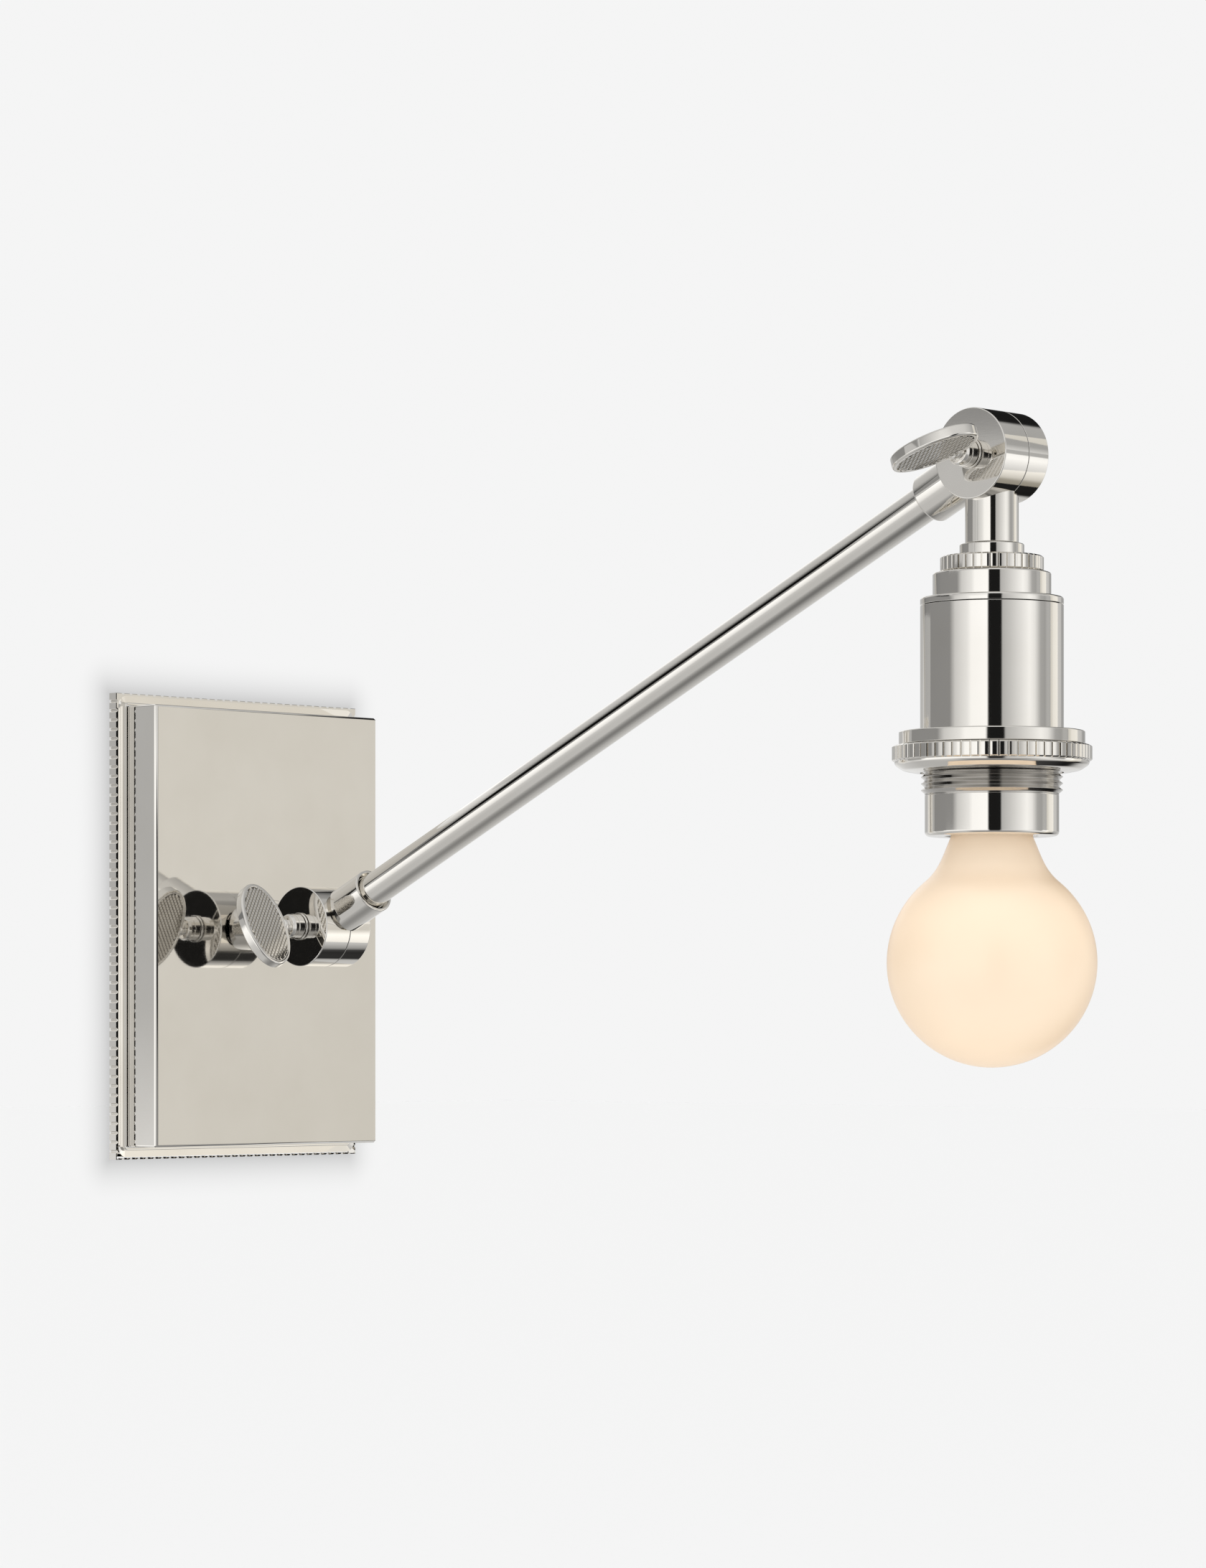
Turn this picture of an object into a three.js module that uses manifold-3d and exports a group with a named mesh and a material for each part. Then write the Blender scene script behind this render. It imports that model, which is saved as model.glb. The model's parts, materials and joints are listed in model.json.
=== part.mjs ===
// Swing arm wall sconce: a stepped backplate with a coin-edged rim, two clamped knuckle joints
// with knurled keys, a straight arm tube and a lampholder head with a threaded shade carrier.
// Millimetres, +Z up. The origin is the centre of the wall face; the wall is the plane y = 0,
// and the sconce stands out from it along -Y.
import * as THREE from "three";
import { mergeVertices } from "three/addons/utils/BufferGeometryUtils.js";
import Module from "manifold-3d";

const wasm = await Module();
wasm.setup();

// ---------------------------------------------------------------- driving dimensions
const FIT = 0.3; // clearance between pieces that touch or pass through each other
const ROUND = 32; // facets round a turned piece
const ROUND_LARGE = 40; // facets round the widest turned pieces
const CUT_MARGIN = 5; // how far a cutting tool runs past what it cuts

const plate = {
  rimWidth: 140.5,
  rimHeight: 200.8,
  rimDepth: 4.9,
  border: 5.5, // flat border of the rim round the pan
  beadWidth: 1.2,
  beadHeight: 1,
  ribsAcross: 32,
  ribsUp: 50,
  ribDepth: 0.7,
  ribShare: 0.62, // part of one rib pitch that is raised
  panProjection: 24.75, // wall to the pan's front face
  panWall: 2,
  panEdge: 1, // chamfer round the pan's front face
};
const bracket = {
  width: 24,
  gauge: 1.6,
  tabLength: 14,
  slotWidth: 5,
  slotLength: 14,
  slotSpacing: 89, // centre to centre, for a wall box
  leadHole: 6.5, // radius
  leadHoleRise: 22,
};
const setScrew = { radius: 2, point: 0.6, length: 9, sunk: 0.2, fromWall: 11 };
const groundScrew = { shank: 1.9, head: 3.8, headHeight: 2, drop: 24 };

const knuckle = {
  radius: 17.2,
  halfLength: 12.9, // from the middle to either end face
  split: 1.1, // the split line, measured from the middle towards +X
  edge: 0.5, // chamfer on the outer end edges
  saddleGap: 0.9, // room between a stem and the other half's barrel
  chamberInner: 6.5, // lead chamber round the clamping screw
  chamberOuter: 12.2,
  chamberDepth: 7.2,
  leadBore: 4.2,
};
const frictionRing = { inner: 13, outer: 15.6, pocket: 0.5 };
const key = {
  thread: 3,
  threadReach: 9.6, // end of the thread, measured from the middle towards +X
  washerRadius: 5.9,
  washerThickness: 0.8,
  shaft: 5.35,
  shaftLength: 7,
  shoulder: 2.4, // rounding where the shaft runs into the paddle
  paddleCentre: 33.9, // from the knuckle's middle towards -X
  paddleLong: 19.4, // half axes of the oval
  paddleShort: 11.6,
  paddleThickness: 4.6,
  paddleRim: 1.7,
  recess: 0.5,
};
const lowerKeyTurn = THREE.MathUtils.degToRad(-27);
const upperKeyTurn = THREE.MathUtils.degToRad(73);

const wallStem = {
  reach: 58.7, // wall to the lower knuckle's axis
  radius: 9.6,
  baseRadius: 12.2,
  baseThickness: 2.2,
  nipple: 6.2,
  nippleLength: 13,
};
const stemWasher = { radius: 11.2, thickness: 0.9 };
const waveWasher = { radius: 10.4, thickness: 1.2 };
const stemNut = { acrossCorners: 10.4, thickness: 5 }; // corner radius

const arm = {
  length: 410.6, // between the two knuckle axes
  rise: THREE.MathUtils.degToRad(24.8),
  tube: 7.1,
  tubeWall: 1.2,
  socketStart: 21,
  collar: 9.6,
  collarEnd: 36,
  neck: 8.5,
  neckLength: 1.4,
  collarBevel: 1,
  ferrule: 9.9,
  ferruleEnd: 33.6,
  ferruleRound: 2.4,
};
const leadRadius = 2.7;

// The head hangs from the upper knuckle's axis. Lengths run down it, in order.
const head = {
  stem: 10.1,
  stemLength: 33.4,
  collar: 12.2,
  collarHeight: 4.6,
  lockRing: 19.55,
  lockRingHeight: 6.3,
  lockRingRibs: 38,
  cap: 22.35,
  capHeight: 9.3,
  capRimHeight: 3,
  housingLength: 47.2,
  wall: 1.6,
  edge: 0.5,
};
const nipple = { radius: 5, bore: 3.3, intoStem: 10, length: 64 };
const nippleNut = { corner: 8.6, thickness: 3.5 };
const carrier = {
  seat: 3.85, // how far the flange reaches in under the housing
  flangeStep: 8.05, // how far the flange stands out past the housing
  flangeHeight: 5.3,
  threadWall: 2.4, // bore to thread root
  threadDepth: 1.2,
  threadPitch: 2.5,
  threadTurns: 7,
  sleeveWall: 2.1,
  sleeveLength: 15.1,
  sleeveRound: 1.5,
  mouth: 17.6,
  mouthWall: 1.6,
};
const shadeRing = {
  overhang: 2.65, // how far the ring stands out past the carrier's flange
  ribs: 66,
  ribHeight: 6.1,
  underside: 4.2, // height of the rounded underside
  ribDepth: 0.9,
};
const gasket = { offThread: 1.4, width: 5.3, thickness: 0.8, recess: 1.1 };
const holder = {
  radius: 19.5,
  room: 3.7, // between the holder and the carrier's bore
  floorFromMouth: 36, // screw socket floor, measured up from the carrier's mouth
  floor: 6,
  upperDepth: 17,
  capThickness: 3,
  wall: 4,
  rimSetback: 2.2, // how far the holder's mouth stops above the carrier's lip
};
const shell = { radius: 14.2, wall: 0.6, length: 23 };
const contact = { width: 5, length: 14, gauge: 0.6, height: 2.2 };
const terminal = { radius: 3, height: 2.4, offset: 8.5 };
const bulb = {
  globe: 39.9,
  centreDrop: 191.2, // upper knuckle's axis to the globe's centre
  neck: 15,
  neckStart: 143.4, // upper knuckle's axis to the glass's shoulder under the cap
  tangent: THREE.MathUtils.degToRad(50), // where the neck's sweep meets the globe
  glass: 0.8,
  cap: 13.1,
  capLength: 21.5,
  capPitch: 3.6,
  capRelief: 0.7,
  capWall: 0.5,
  insulator: 9.6,
  insulatorHeight: 3.2,
  tip: 4.6,
  tipHeight: 1.6,
};

// Sizes and places that follow from the dimensions above.
carrier.bore = holder.radius + holder.room;
carrier.threadRoot = carrier.bore + carrier.threadWall;
carrier.threadCrest = carrier.threadRoot + carrier.threadDepth;
carrier.sleeve = carrier.bore + carrier.sleeveWall;
head.housing = carrier.bore + carrier.seat;
carrier.flange = head.housing + carrier.flangeStep;
shadeRing.radius = carrier.flange + shadeRing.overhang;
gasket.inner = carrier.threadCrest + gasket.offThread;
gasket.outer = gasket.inner + gasket.width;
const drop = { collarTop: head.stemLength };
drop.lockRingTop = drop.collarTop + head.collarHeight;
drop.capTop = drop.lockRingTop + head.lockRingHeight;
drop.capRimTop = drop.capTop + head.capHeight;
drop.housingTop = drop.capRimTop + head.capRimHeight;
drop.flangeTop = drop.housingTop + head.housingLength;
drop.flangeBottom = drop.flangeTop + carrier.flangeHeight;
drop.threadEnd = drop.flangeBottom + carrier.threadPitch * carrier.threadTurns + 2;
drop.mouth = drop.threadEnd + carrier.sleeveLength;
drop.holderMouth = drop.mouth - carrier.mouthWall - holder.rimSetback;
drop.holderFloor = drop.mouth - holder.floorFromMouth;
const panWidth = plate.rimWidth - 2 * plate.border;
const panHeight = plate.rimHeight - 2 * plate.border;

// ---------------------------------------------------------------- materials
const nickel = { color: 0xcfcac2, roughness: 0.08, metalness: 1 };
const zincSteel = { color: 0xa9abad, roughness: 0.35, metalness: 1 };
const brass = { color: 0xc9a35a, roughness: 0.25, metalness: 1 };
const rubber = { color: 0x1c1c1c, roughness: 0.8, metalness: 0 };
const ceramic = { color: 0xe9e6de, roughness: 0.5, metalness: 0 };
const leadSleeve = { color: 0xd8d8d4, roughness: 0.6, metalness: 0 };
const opalGlass = { color: 0xfce9d0, roughness: 0.3, metalness: 0 };
const blackGlass = { color: 0x151515, roughness: 0.3, metalness: 0 };
const aluminium = { color: 0xc4c6c8, roughness: 0.3, metalness: 1 };
const greenPaint = { color: 0x2f7d46, roughness: 0.4, metalness: 0.3 };

// ---------------------------------------------------------------- geometry helpers
const QUARTER = Math.PI / 2;

function toSolid(geometry) {
  const bare = geometry.index ? geometry.toNonIndexed() : geometry.clone();
  bare.deleteAttribute("normal");
  bare.deleteAttribute("uv");
  const merged = mergeVertices(bare, 1e-4);
  return new wasm.Manifold(
    new wasm.Mesh({
      numProp: 3,
      vertProperties: merged.attributes.position.array,
      triVerts: new Uint32Array(merged.index.array),
    }),
  );
}

function toGeometry(solid) {
  const mesh = solid.getMesh();
  const geometry = new THREE.BufferGeometry();
  geometry.setAttribute("position", new THREE.BufferAttribute(new Float32Array(mesh.vertProperties), 3));
  geometry.setIndex(new THREE.BufferAttribute(new Uint32Array(mesh.triVerts), 1));
  geometry.computeVertexNormals();
  return geometry;
}

function join(first, ...others) {
  return toGeometry(others.reduce((solid, next) => solid.add(toSolid(next)), toSolid(first)));
}

function cut(body, ...tools) {
  return toGeometry(tools.reduce((solid, tool) => solid.subtract(toSolid(tool)), toSolid(body)));
}

// A solid of revolution about Z from [radius, height] points, listed from low to high on the
// outside; a profile that doesn't reach the axis is closed on itself.
function turned(profile, facets = ROUND) {
  const points = profile.map(([r, z]) => new THREE.Vector2(r, z));
  const last = points.length - 1;
  if (points[0].x > 0 || points[last].x > 0) points.push(points[0].clone());
  return new THREE.LatheGeometry(points, facets).rotateX(QUARTER);
}

function rod(radius, low, high, facets = ROUND) {
  return turned([[0, low], [radius, low], [radius, high], [0, high]], facets);
}

function ring(inner, outer, low, high, facets = ROUND) {
  return turned([[inner, low], [outer, low], [outer, high], [inner, high]], facets);
}

function block(width, depth, height, x, y, z) {
  return new THREE.BoxGeometry(width, depth, height).translate(x, y, z);
}

// Turns a piece made along Z so that its length runs along another axis.
const alongX = (geometry) => geometry.rotateY(QUARTER);
const towardsWall = (geometry) => geometry.rotateX(-QUARTER);
const fromWall = (geometry) => geometry.rotateX(QUARTER);
const downwards = (geometry) => geometry.rotateX(Math.PI);

function extruded(shape, depth, curveSegments = 24) {
  return new THREE.ExtrudeGeometry(shape, { depth, bevelEnabled: false, curveSegments });
}

function arc(centreR, centreZ, radius, from, to, steps) {
  return Array.from({ length: steps + 1 }, (_, i) => {
    const angle = THREE.MathUtils.degToRad(from + ((to - from) * i) / steps);
    return [centreR + radius * Math.cos(angle), centreZ + radius * Math.sin(angle)];
  });
}

// Outline of a coin edge: raised flats with a V groove between them.
function coinOutline(radius, ribs, depth) {
  const shape = new THREE.Shape();
  const pitch = (2 * Math.PI) / ribs;
  for (let i = 0; i < ribs; i += 1) {
    const start = i * pitch;
    const stop = start + pitch * plate.ribShare;
    const groove = (stop + start + pitch) / 2;
    const corners = [
      [radius, start],
      [radius, stop],
      [radius - depth, groove],
    ];
    corners.forEach(([r, angle], n) => {
      const move = i === 0 && n === 0 ? "moveTo" : "lineTo";
      shape[move](r * Math.cos(angle), r * Math.sin(angle));
    });
  }
  shape.closePath();
  return shape;
}

function circleHole(radius, x = 0, y = 0) {
  const hole = new THREE.Path();
  hole.absarc(x, y, radius, 0, 2 * Math.PI, true);
  return hole;
}

function rectangle(width, height, Kind = THREE.Shape) {
  const path = new Kind();
  path.moveTo(-width / 2, -height / 2);
  path.lineTo(width / 2, -height / 2);
  path.lineTo(width / 2, height / 2);
  path.lineTo(-width / 2, height / 2);
  path.closePath();
  return path;
}

// Rectangle whose four sides carry the same coin edge, with plain corners.
function toothedRectangle(width, height, across, up, depth) {
  const shape = new THREE.Shape();
  const sides = [
    { from: [-1, -1], along: [1, 0], length: width, ribs: across },
    { from: [1, -1], along: [0, 1], length: height, ribs: up },
    { from: [1, 1], along: [-1, 0], length: width, ribs: across },
    { from: [-1, 1], along: [0, -1], length: height, ribs: up },
  ];
  shape.moveTo(-width / 2, -height / 2);
  for (const { from, along, length, ribs } of sides) {
    const corner = [(from[0] * width) / 2, (from[1] * height) / 2];
    const inward = [-along[1], along[0]];
    const pitch = length / (ribs - 1 + plate.ribShare);
    const at = (run, sink) => corner.map((c, n) => c + along[n] * run + inward[n] * sink);
    for (let i = 1; i < ribs; i += 1) {
      const stop = (i - 1) * pitch + pitch * plate.ribShare;
      shape.lineTo(...at(stop, 0));
      shape.lineTo(...at((stop + i * pitch) / 2, depth));
      shape.lineTo(...at(i * pitch, 0));
    }
    shape.lineTo(...at(length, 0));
  }
  return shape;
}

function hexagon(corner) {
  const shape = new THREE.Shape();
  for (let i = 0; i < 6; i += 1) {
    const angle = (i * Math.PI) / 3;
    const move = i === 0 ? "moveTo" : "lineTo";
    shape[move](corner * Math.cos(angle), corner * Math.sin(angle));
  }
  shape.closePath();
  return shape;
}

function hexNut(corner, bore, thickness) {
  const shape = hexagon(corner);
  shape.holes.push(circleHole(bore));
  return extruded(shape, thickness, 12);
}

const materials = new Map();
function piece(name, geometry, look) {
  if (!materials.has(look)) materials.set(look, new THREE.MeshStandardMaterial(look));
  const mesh = new THREE.Mesh(geometry, materials.get(look));
  mesh.name = name;
  return mesh;
}

// ---------------------------------------------------------------- backplate
function backplateRim() {
  const outline = toothedRectangle(
    plate.rimWidth,
    plate.rimHeight,
    plate.ribsAcross,
    plate.ribsUp,
    plate.ribDepth,
  );
  const innerWidth = panWidth + 2 * FIT;
  const innerHeight = panHeight + 2 * FIT;
  outline.holes.push(rectangle(innerWidth, innerHeight, THREE.Path));
  const bead = rectangle(innerWidth + 2 * plate.beadWidth, innerHeight + 2 * plate.beadWidth);
  bead.holes.push(rectangle(innerWidth, innerHeight, THREE.Path));
  const rim = join(extruded(outline, plate.rimDepth), extruded(bead, plate.rimDepth + plate.beadHeight));
  return fromWall(rim);
}

function backplatePan() {
  const edge = plate.panEdge;
  const block3 = new THREE.ExtrudeGeometry(rectangle(panWidth - 2 * edge, panHeight - 2 * edge), {
    depth: plate.panProjection - edge,
    bevelThickness: edge,
    bevelSize: edge,
    bevelSegments: 1,
  });
  const inside = plate.panProjection - plate.panWall;
  const hollow = block(
    panWidth - 2 * plate.panWall,
    panHeight - 2 * plate.panWall,
    inside + CUT_MARGIN,
    0,
    0,
    (inside - CUT_MARGIN) / 2,
  );
  const backTrim = block(panWidth + CUT_MARGIN, panHeight + CUT_MARGIN, CUT_MARGIN, 0, 0, -CUT_MARGIN / 2);
  const stemHole = rod(wallStem.nipple + FIT, 0, plate.panProjection + CUT_MARGIN);
  const screwHole = rod(setScrew.radius + FIT, -panHeight, panHeight, 20);
  screwHole.rotateX(QUARTER).translate(0, 0, setScrew.fromWall);
  return fromWall(cut(block3, hollow, backTrim, stemHole, screwHole));
}

// Steel strap against the wall, its two ends bent forward to take the plate's screws.
const tabFace = panHeight / 2 - plate.panWall - FIT;
function wallBracket() {
  const profile = new THREE.Shape();
  profile.moveTo(0, -tabFace);
  profile.lineTo(bracket.tabLength, -tabFace);
  profile.lineTo(bracket.tabLength, -tabFace + bracket.gauge);
  profile.lineTo(bracket.gauge, -tabFace + bracket.gauge);
  profile.lineTo(bracket.gauge, tabFace - bracket.gauge);
  profile.lineTo(bracket.tabLength, tabFace - bracket.gauge);
  profile.lineTo(bracket.tabLength, tabFace);
  profile.lineTo(0, tabFace);
  profile.closePath();
  const strap = extruded(profile, bracket.width);
  strap.rotateX(QUARTER).rotateZ(-QUARTER).translate(bracket.width / 2, 0, 0);
  const tools = [1, -1].map((side) => {
    const centre = (side * bracket.slotSpacing) / 2;
    return block(bracket.slotLength, 3 * CUT_MARGIN, bracket.slotWidth, 0, 0, centre);
  });
  const holeReach = 2 * CUT_MARGIN;
  tools.push(fromWall(rod(bracket.leadHole, -holeReach, holeReach, 24)).translate(0, 0, bracket.leadHoleRise));
  const groundHole = fromWall(rod(groundScrew.shank + FIT, -holeReach, holeReach, 16));
  tools.push(groundHole.translate(0, 0, -groundScrew.drop));
  tools.push(rod(setScrew.radius + FIT, -panHeight, panHeight, 20).translate(0, -setScrew.fromWall, 0));
  return cut(strap, ...tools);
}

// Pan-head screw made with its head upwards and the head's seat at z = 0.
function panScrew({ shank, head: flat, headHeight }, length, facets = 20) {
  return turned(
    [
      [0, -length],
      [shank, -length],
      [shank, 0],
      [flat, 0],
      [flat, headHeight * 0.5],
      [flat * 0.7, headHeight],
      [0, headHeight],
    ],
    facets,
  );
}

// Headless screw that lies just under the pan's top or bottom wall, its point inwards.
function plateSetScrew() {
  const { radius, point, length, sunk } = setScrew;
  const outer = panHeight / 2 - sunk;
  const inner = outer - length;
  const profile = [[0, inner], [radius - point, inner], [radius, inner + point], [radius, outer], [0, outer]];
  return turned(profile, 20);
}

function makeBackplate() {
  const group = new THREE.Group();
  const top = piece("plate_set_screw_top", plateSetScrew(), zincSteel);
  const bottom = piece("plate_set_screw_bottom", downwards(plateSetScrew()), zincSteel);
  top.position.y = -setScrew.fromWall;
  bottom.position.y = -setScrew.fromWall;
  const ground = piece("ground_screw", fromWall(panScrew(groundScrew, bracket.gauge)), greenPaint);
  ground.position.set(0, -bracket.gauge - FIT, -groundScrew.drop);
  group.add(
    piece("backplate_rim", backplateRim(), nickel),
    piece("backplate_pan", backplatePan(), nickel),
    piece("wall_bracket", wallBracket(), zincSteel),
    top,
    bottom,
    ground,
  );
  return group;
}

// ---------------------------------------------------------------- knuckles
// One half of a knuckle: half of the barrel (about X) with its stem rising along +Z.
// side is -1 for the key side, which the screw passes through, and +1 for the threaded side.
// stemParts are solids along Z that join the barrel; stemBores are cut out of the whole.
function knuckleHalf(side, stemParts, stemBores) {
  const face = knuckle.split + (side * FIT) / 2;
  const end = side * knuckle.halfLength;
  const { radius, edge } = knuckle;
  const steps = [
    [0, face],
    [radius, face],
    [radius, end - side * edge],
    [radius - edge, end],
    [0, end],
  ];
  const barrel = alongX(turned(side > 0 ? steps : steps.reverse()));
  const far = -side * (knuckle.halfLength + CUT_MARGIN);
  const clearance = alongX(rod(radius + knuckle.saddleGap, Math.min(face, far), Math.max(face, far)));
  const stem = cut(stemParts.length > 1 ? join(...stemParts) : stemParts[0], clearance);

  const chamberFloor = face + side * knuckle.chamberDepth;
  const between = (inner, outer, a, b) => alongX(ring(inner, outer, Math.min(a, b), Math.max(a, b)));
  const chamber = between(knuckle.chamberInner, knuckle.chamberOuter, face - side * FIT, chamberFloor);
  const pocket = between(
    frictionRing.inner - FIT,
    frictionRing.outer + FIT,
    face - side * FIT,
    face + side * frictionRing.pocket,
  );
  const boreEnd = side > 0 ? key.threadReach + 1 : -knuckle.halfLength - CUT_MARGIN;
  const bore = alongX(
    rod(key.thread + FIT, Math.min(face - side, boreEnd), Math.max(face - side, boreEnd), 24),
  );
  return cut(join(barrel, stem), chamber, pocket, bore, ...stemBores);
}

// Bore for the leads, from the middle of the chamber out along the stem.
function leadBore(end) {
  const start = (knuckle.chamberInner + knuckle.chamberOuter) / 2;
  return rod(knuckle.leadBore, start, end, 24);
}

// The stiff run of the leads starts outside the barrels, where a stem stays clear of them.
const leadStart = knuckle.radius + knuckle.saddleGap;

function frictionRingSolid() {
  const half = FIT / 2 + frictionRing.pocket - FIT;
  const flat = ring(frictionRing.inner, frictionRing.outer, knuckle.split - half, knuckle.split + half);
  return alongX(flat);
}

const washerSeat = -knuckle.halfLength - FIT;
function keyWasher() {
  const outer = washerSeat - key.washerThickness;
  return alongX(ring(key.thread + FIT, key.washerRadius, outer, washerSeat, 32));
}

// Oval slab lying in the XZ plane, its long axis along Z.
function ovalSlab(long, short, thickness) {
  const shape = new THREE.Shape();
  shape.absellipse(0, 0, short, long, 0, 2 * Math.PI, false);
  return extruded(shape, thickness).translate(0, 0, -thickness / 2).rotateX(QUARTER);
}

function clampKey(turn) {
  const shoulderX = washerSeat - key.washerThickness - FIT;
  const shaftEnd = shoulderX - key.shaftLength;
  const domeEnd = shaftEnd - key.shoulder;
  const spindle = alongX(
    turned(
      [
        [0, domeEnd],
        [key.shaft - key.shoulder, domeEnd],
        [key.shaft - key.shoulder * 0.3, shaftEnd - key.shoulder * 0.7],
        [key.shaft, shaftEnd],
        [key.shaft, shoulderX],
        [key.thread, shoulderX],
        [key.thread, key.threadReach],
        [0, key.threadReach],
      ],
      32,
    ),
  );
  const paddle = ovalSlab(key.paddleLong, key.paddleShort, key.paddleThickness);
  const recessLong = key.paddleLong - key.paddleRim;
  const recessShort = key.paddleShort - key.paddleRim;
  const recesses = [1, -1].map((side) => {
    const depth = key.recess + CUT_MARGIN;
    const offset = side * (key.paddleThickness / 2 - key.recess + depth / 2);
    return ovalSlab(recessLong, recessShort, depth).translate(0, offset, 0);
  });
  const grip = cut(paddle, ...recesses).translate(-key.paddleCentre, 0, 0);
  const bridge = -key.paddleCentre + key.paddleShort;
  const web = block(
    domeEnd - bridge + 2 * key.paddleRim,
    key.paddleThickness,
    2 * key.shaft * 0.6,
    (domeEnd + bridge) / 2,
    0,
    0,
  );
  return join(spindle, grip, web).rotateX(turn);
}

// ---------------------------------------------------------------- wall stem
const stemBase = wallStem.reach - plate.panProjection - FIT - stemWasher.thickness - FIT;
const nippleEnd = stemBase + wallStem.nippleLength;
const panInside = wallStem.reach - plate.panProjection + plate.panWall;

function makeWallStem() {
  const saddle = alongX(rod(knuckle.radius + arm.neckLength, -knuckle.radius, knuckle.radius));
  const collar = rod(wallStem.radius, 0, stemBase - wallStem.baseThickness / 2);
  const foot = rod(wallStem.baseRadius, stemBase - wallStem.baseThickness, stemBase);
  const stemParts = [
    rod(arm.neck, 0, stemBase - wallStem.baseThickness / 2),
    join(cut(collar, saddle), foot),
    rod(wallStem.nipple, stemBase - wallStem.baseThickness, nippleEnd, 32),
  ];
  const stem = knuckleHalf(1, stemParts, [leadBore(nippleEnd + CUT_MARGIN)]);

  const group = new THREE.Group();
  group.position.y = -wallStem.reach;
  const washerLow = stemBase + FIT;
  const waveLow = panInside + FIT;
  const nutLow = waveLow + waveWasher.thickness + FIT;
  const bore = wallStem.nipple + FIT;
  const washer = ring(bore, stemWasher.radius, washerLow, washerLow + stemWasher.thickness);
  const wave = ring(bore, waveWasher.radius, waveLow, waveLow + waveWasher.thickness, 32);
  const nut = hexNut(stemNut.acrossCorners, bore, stemNut.thickness).translate(0, 0, nutLow);
  const leads = rod(leadRadius, leadStart, nippleEnd + CUT_MARGIN, 12);
  group.add(
    piece("wall_stem_knuckle_half", towardsWall(stem), nickel),
    piece("stem_washer", towardsWall(washer), nickel),
    piece("stem_wave_washer", towardsWall(wave), zincSteel),
    piece("stem_nut", towardsWall(nut), brass),
    piece("wall_stem_leads", towardsWall(leads), leadSleeve),
    piece("lower_friction_ring", frictionRingSolid(), rubber),
    piece("lower_key_washer", keyWasher(), nickel),
    piece("lower_key", clampKey(lowerKeyTurn), nickel),
  );
  return group;
}

// ---------------------------------------------------------------- arm
const tubeStart = arm.socketStart + FIT;
function tubeSocket(end) {
  return rod(arm.tube + FIT, arm.socketStart, end);
}

function armRoot() {
  const saddle = alongX(rod(knuckle.radius + arm.neckLength, -knuckle.radius, knuckle.radius));
  const collar = cut(rod(arm.collar, 0, arm.collarEnd), saddle);
  const lip = turned([
    [0, arm.collarEnd - arm.collarBevel],
    [arm.tube + FIT, arm.collarEnd - arm.collarBevel],
    [arm.tube + FIT + arm.collarBevel, arm.collarEnd + FIT],
    [0, arm.collarEnd + FIT],
  ]);
  const bores = [leadBore(arm.socketStart + FIT), tubeSocket(arm.collarEnd + FIT), lip];
  return knuckleHalf(-1, [rod(arm.neck, 0, arm.socketStart + FIT), collar], bores);
}

function armFerrule() {
  const round = arm.ferruleRound;
  const ferrule = turned([
    [0, 0],
    [arm.ferrule, 0],
    ...arc(arm.ferrule - round, arm.ferruleEnd - round, round, 0, 75, 4),
    [0, arm.ferruleEnd],
  ]);
  // The head's stem stops against the ferrule's root, which is scooped out to fit it.
  const stopAngle = QUARTER - arm.rise;
  const scoop = rod(head.stem + FIT, 0, head.stemLength).rotateX(-stopAngle);
  const bores = [leadBore(arm.socketStart + FIT), tubeSocket(arm.ferruleEnd + FIT)];
  return knuckleHalf(1, [cut(ferrule, scoop)], bores);
}

function makeArm() {
  const group = new THREE.Group();
  group.position.y = -wallStem.reach;
  group.rotation.x = -arm.rise;
  const tube = ring(arm.tube - arm.tubeWall, arm.tube, tubeStart, arm.length - tubeStart);
  const leads = rod(leadRadius, leadStart, arm.length - leadStart, 12);
  const far = new THREE.Group();
  far.position.y = -arm.length;
  far.add(
    piece("arm_ferrule_knuckle_half", towardsWall(armFerrule()), nickel),
    piece("upper_friction_ring", frictionRingSolid(), rubber),
    piece("upper_key_washer", keyWasher(), nickel),
    piece("upper_key", clampKey(upperKeyTurn + arm.rise), nickel),
  );
  group.add(
    piece("arm_collar_knuckle_half", fromWall(armRoot()), nickel),
    piece("arm_tube", fromWall(tube), nickel),
    piece("arm_leads", fromWall(leads), leadSleeve),
    far,
  );
  return group;
}

// ---------------------------------------------------------------- head
// Profiles below are drawn with z measured down from the upper knuckle's axis.
function hung(profile, facets = ROUND) {
  return turned(profile.map(([r, z]) => [r, -z]).reverse(), facets);
}

function hungRing(inner, outer, top, bottom, facets = ROUND) {
  return hung([[inner, top], [outer, top], [outer, bottom], [inner, bottom]], facets);
}

function headKnuckleHalf() {
  const nippleSocket = head.stemLength - nipple.intoStem - FIT;
  const bores = [
    leadBore(head.stemLength + FIT),
    rod(nipple.radius + FIT, nippleSocket, head.stemLength + FIT, 32),
  ];
  return downwards(knuckleHalf(-1, [rod(head.stem, 0, head.stemLength - FIT)], bores));
}

function capLockRing() {
  const outline = coinOutline(head.lockRing, head.lockRingRibs, plate.ribDepth);
  outline.holes.push(circleHole(nipple.radius + FIT));
  return extruded(outline, head.lockRingHeight - FIT, 16).translate(0, 0, -drop.capTop + FIT);
}

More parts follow.
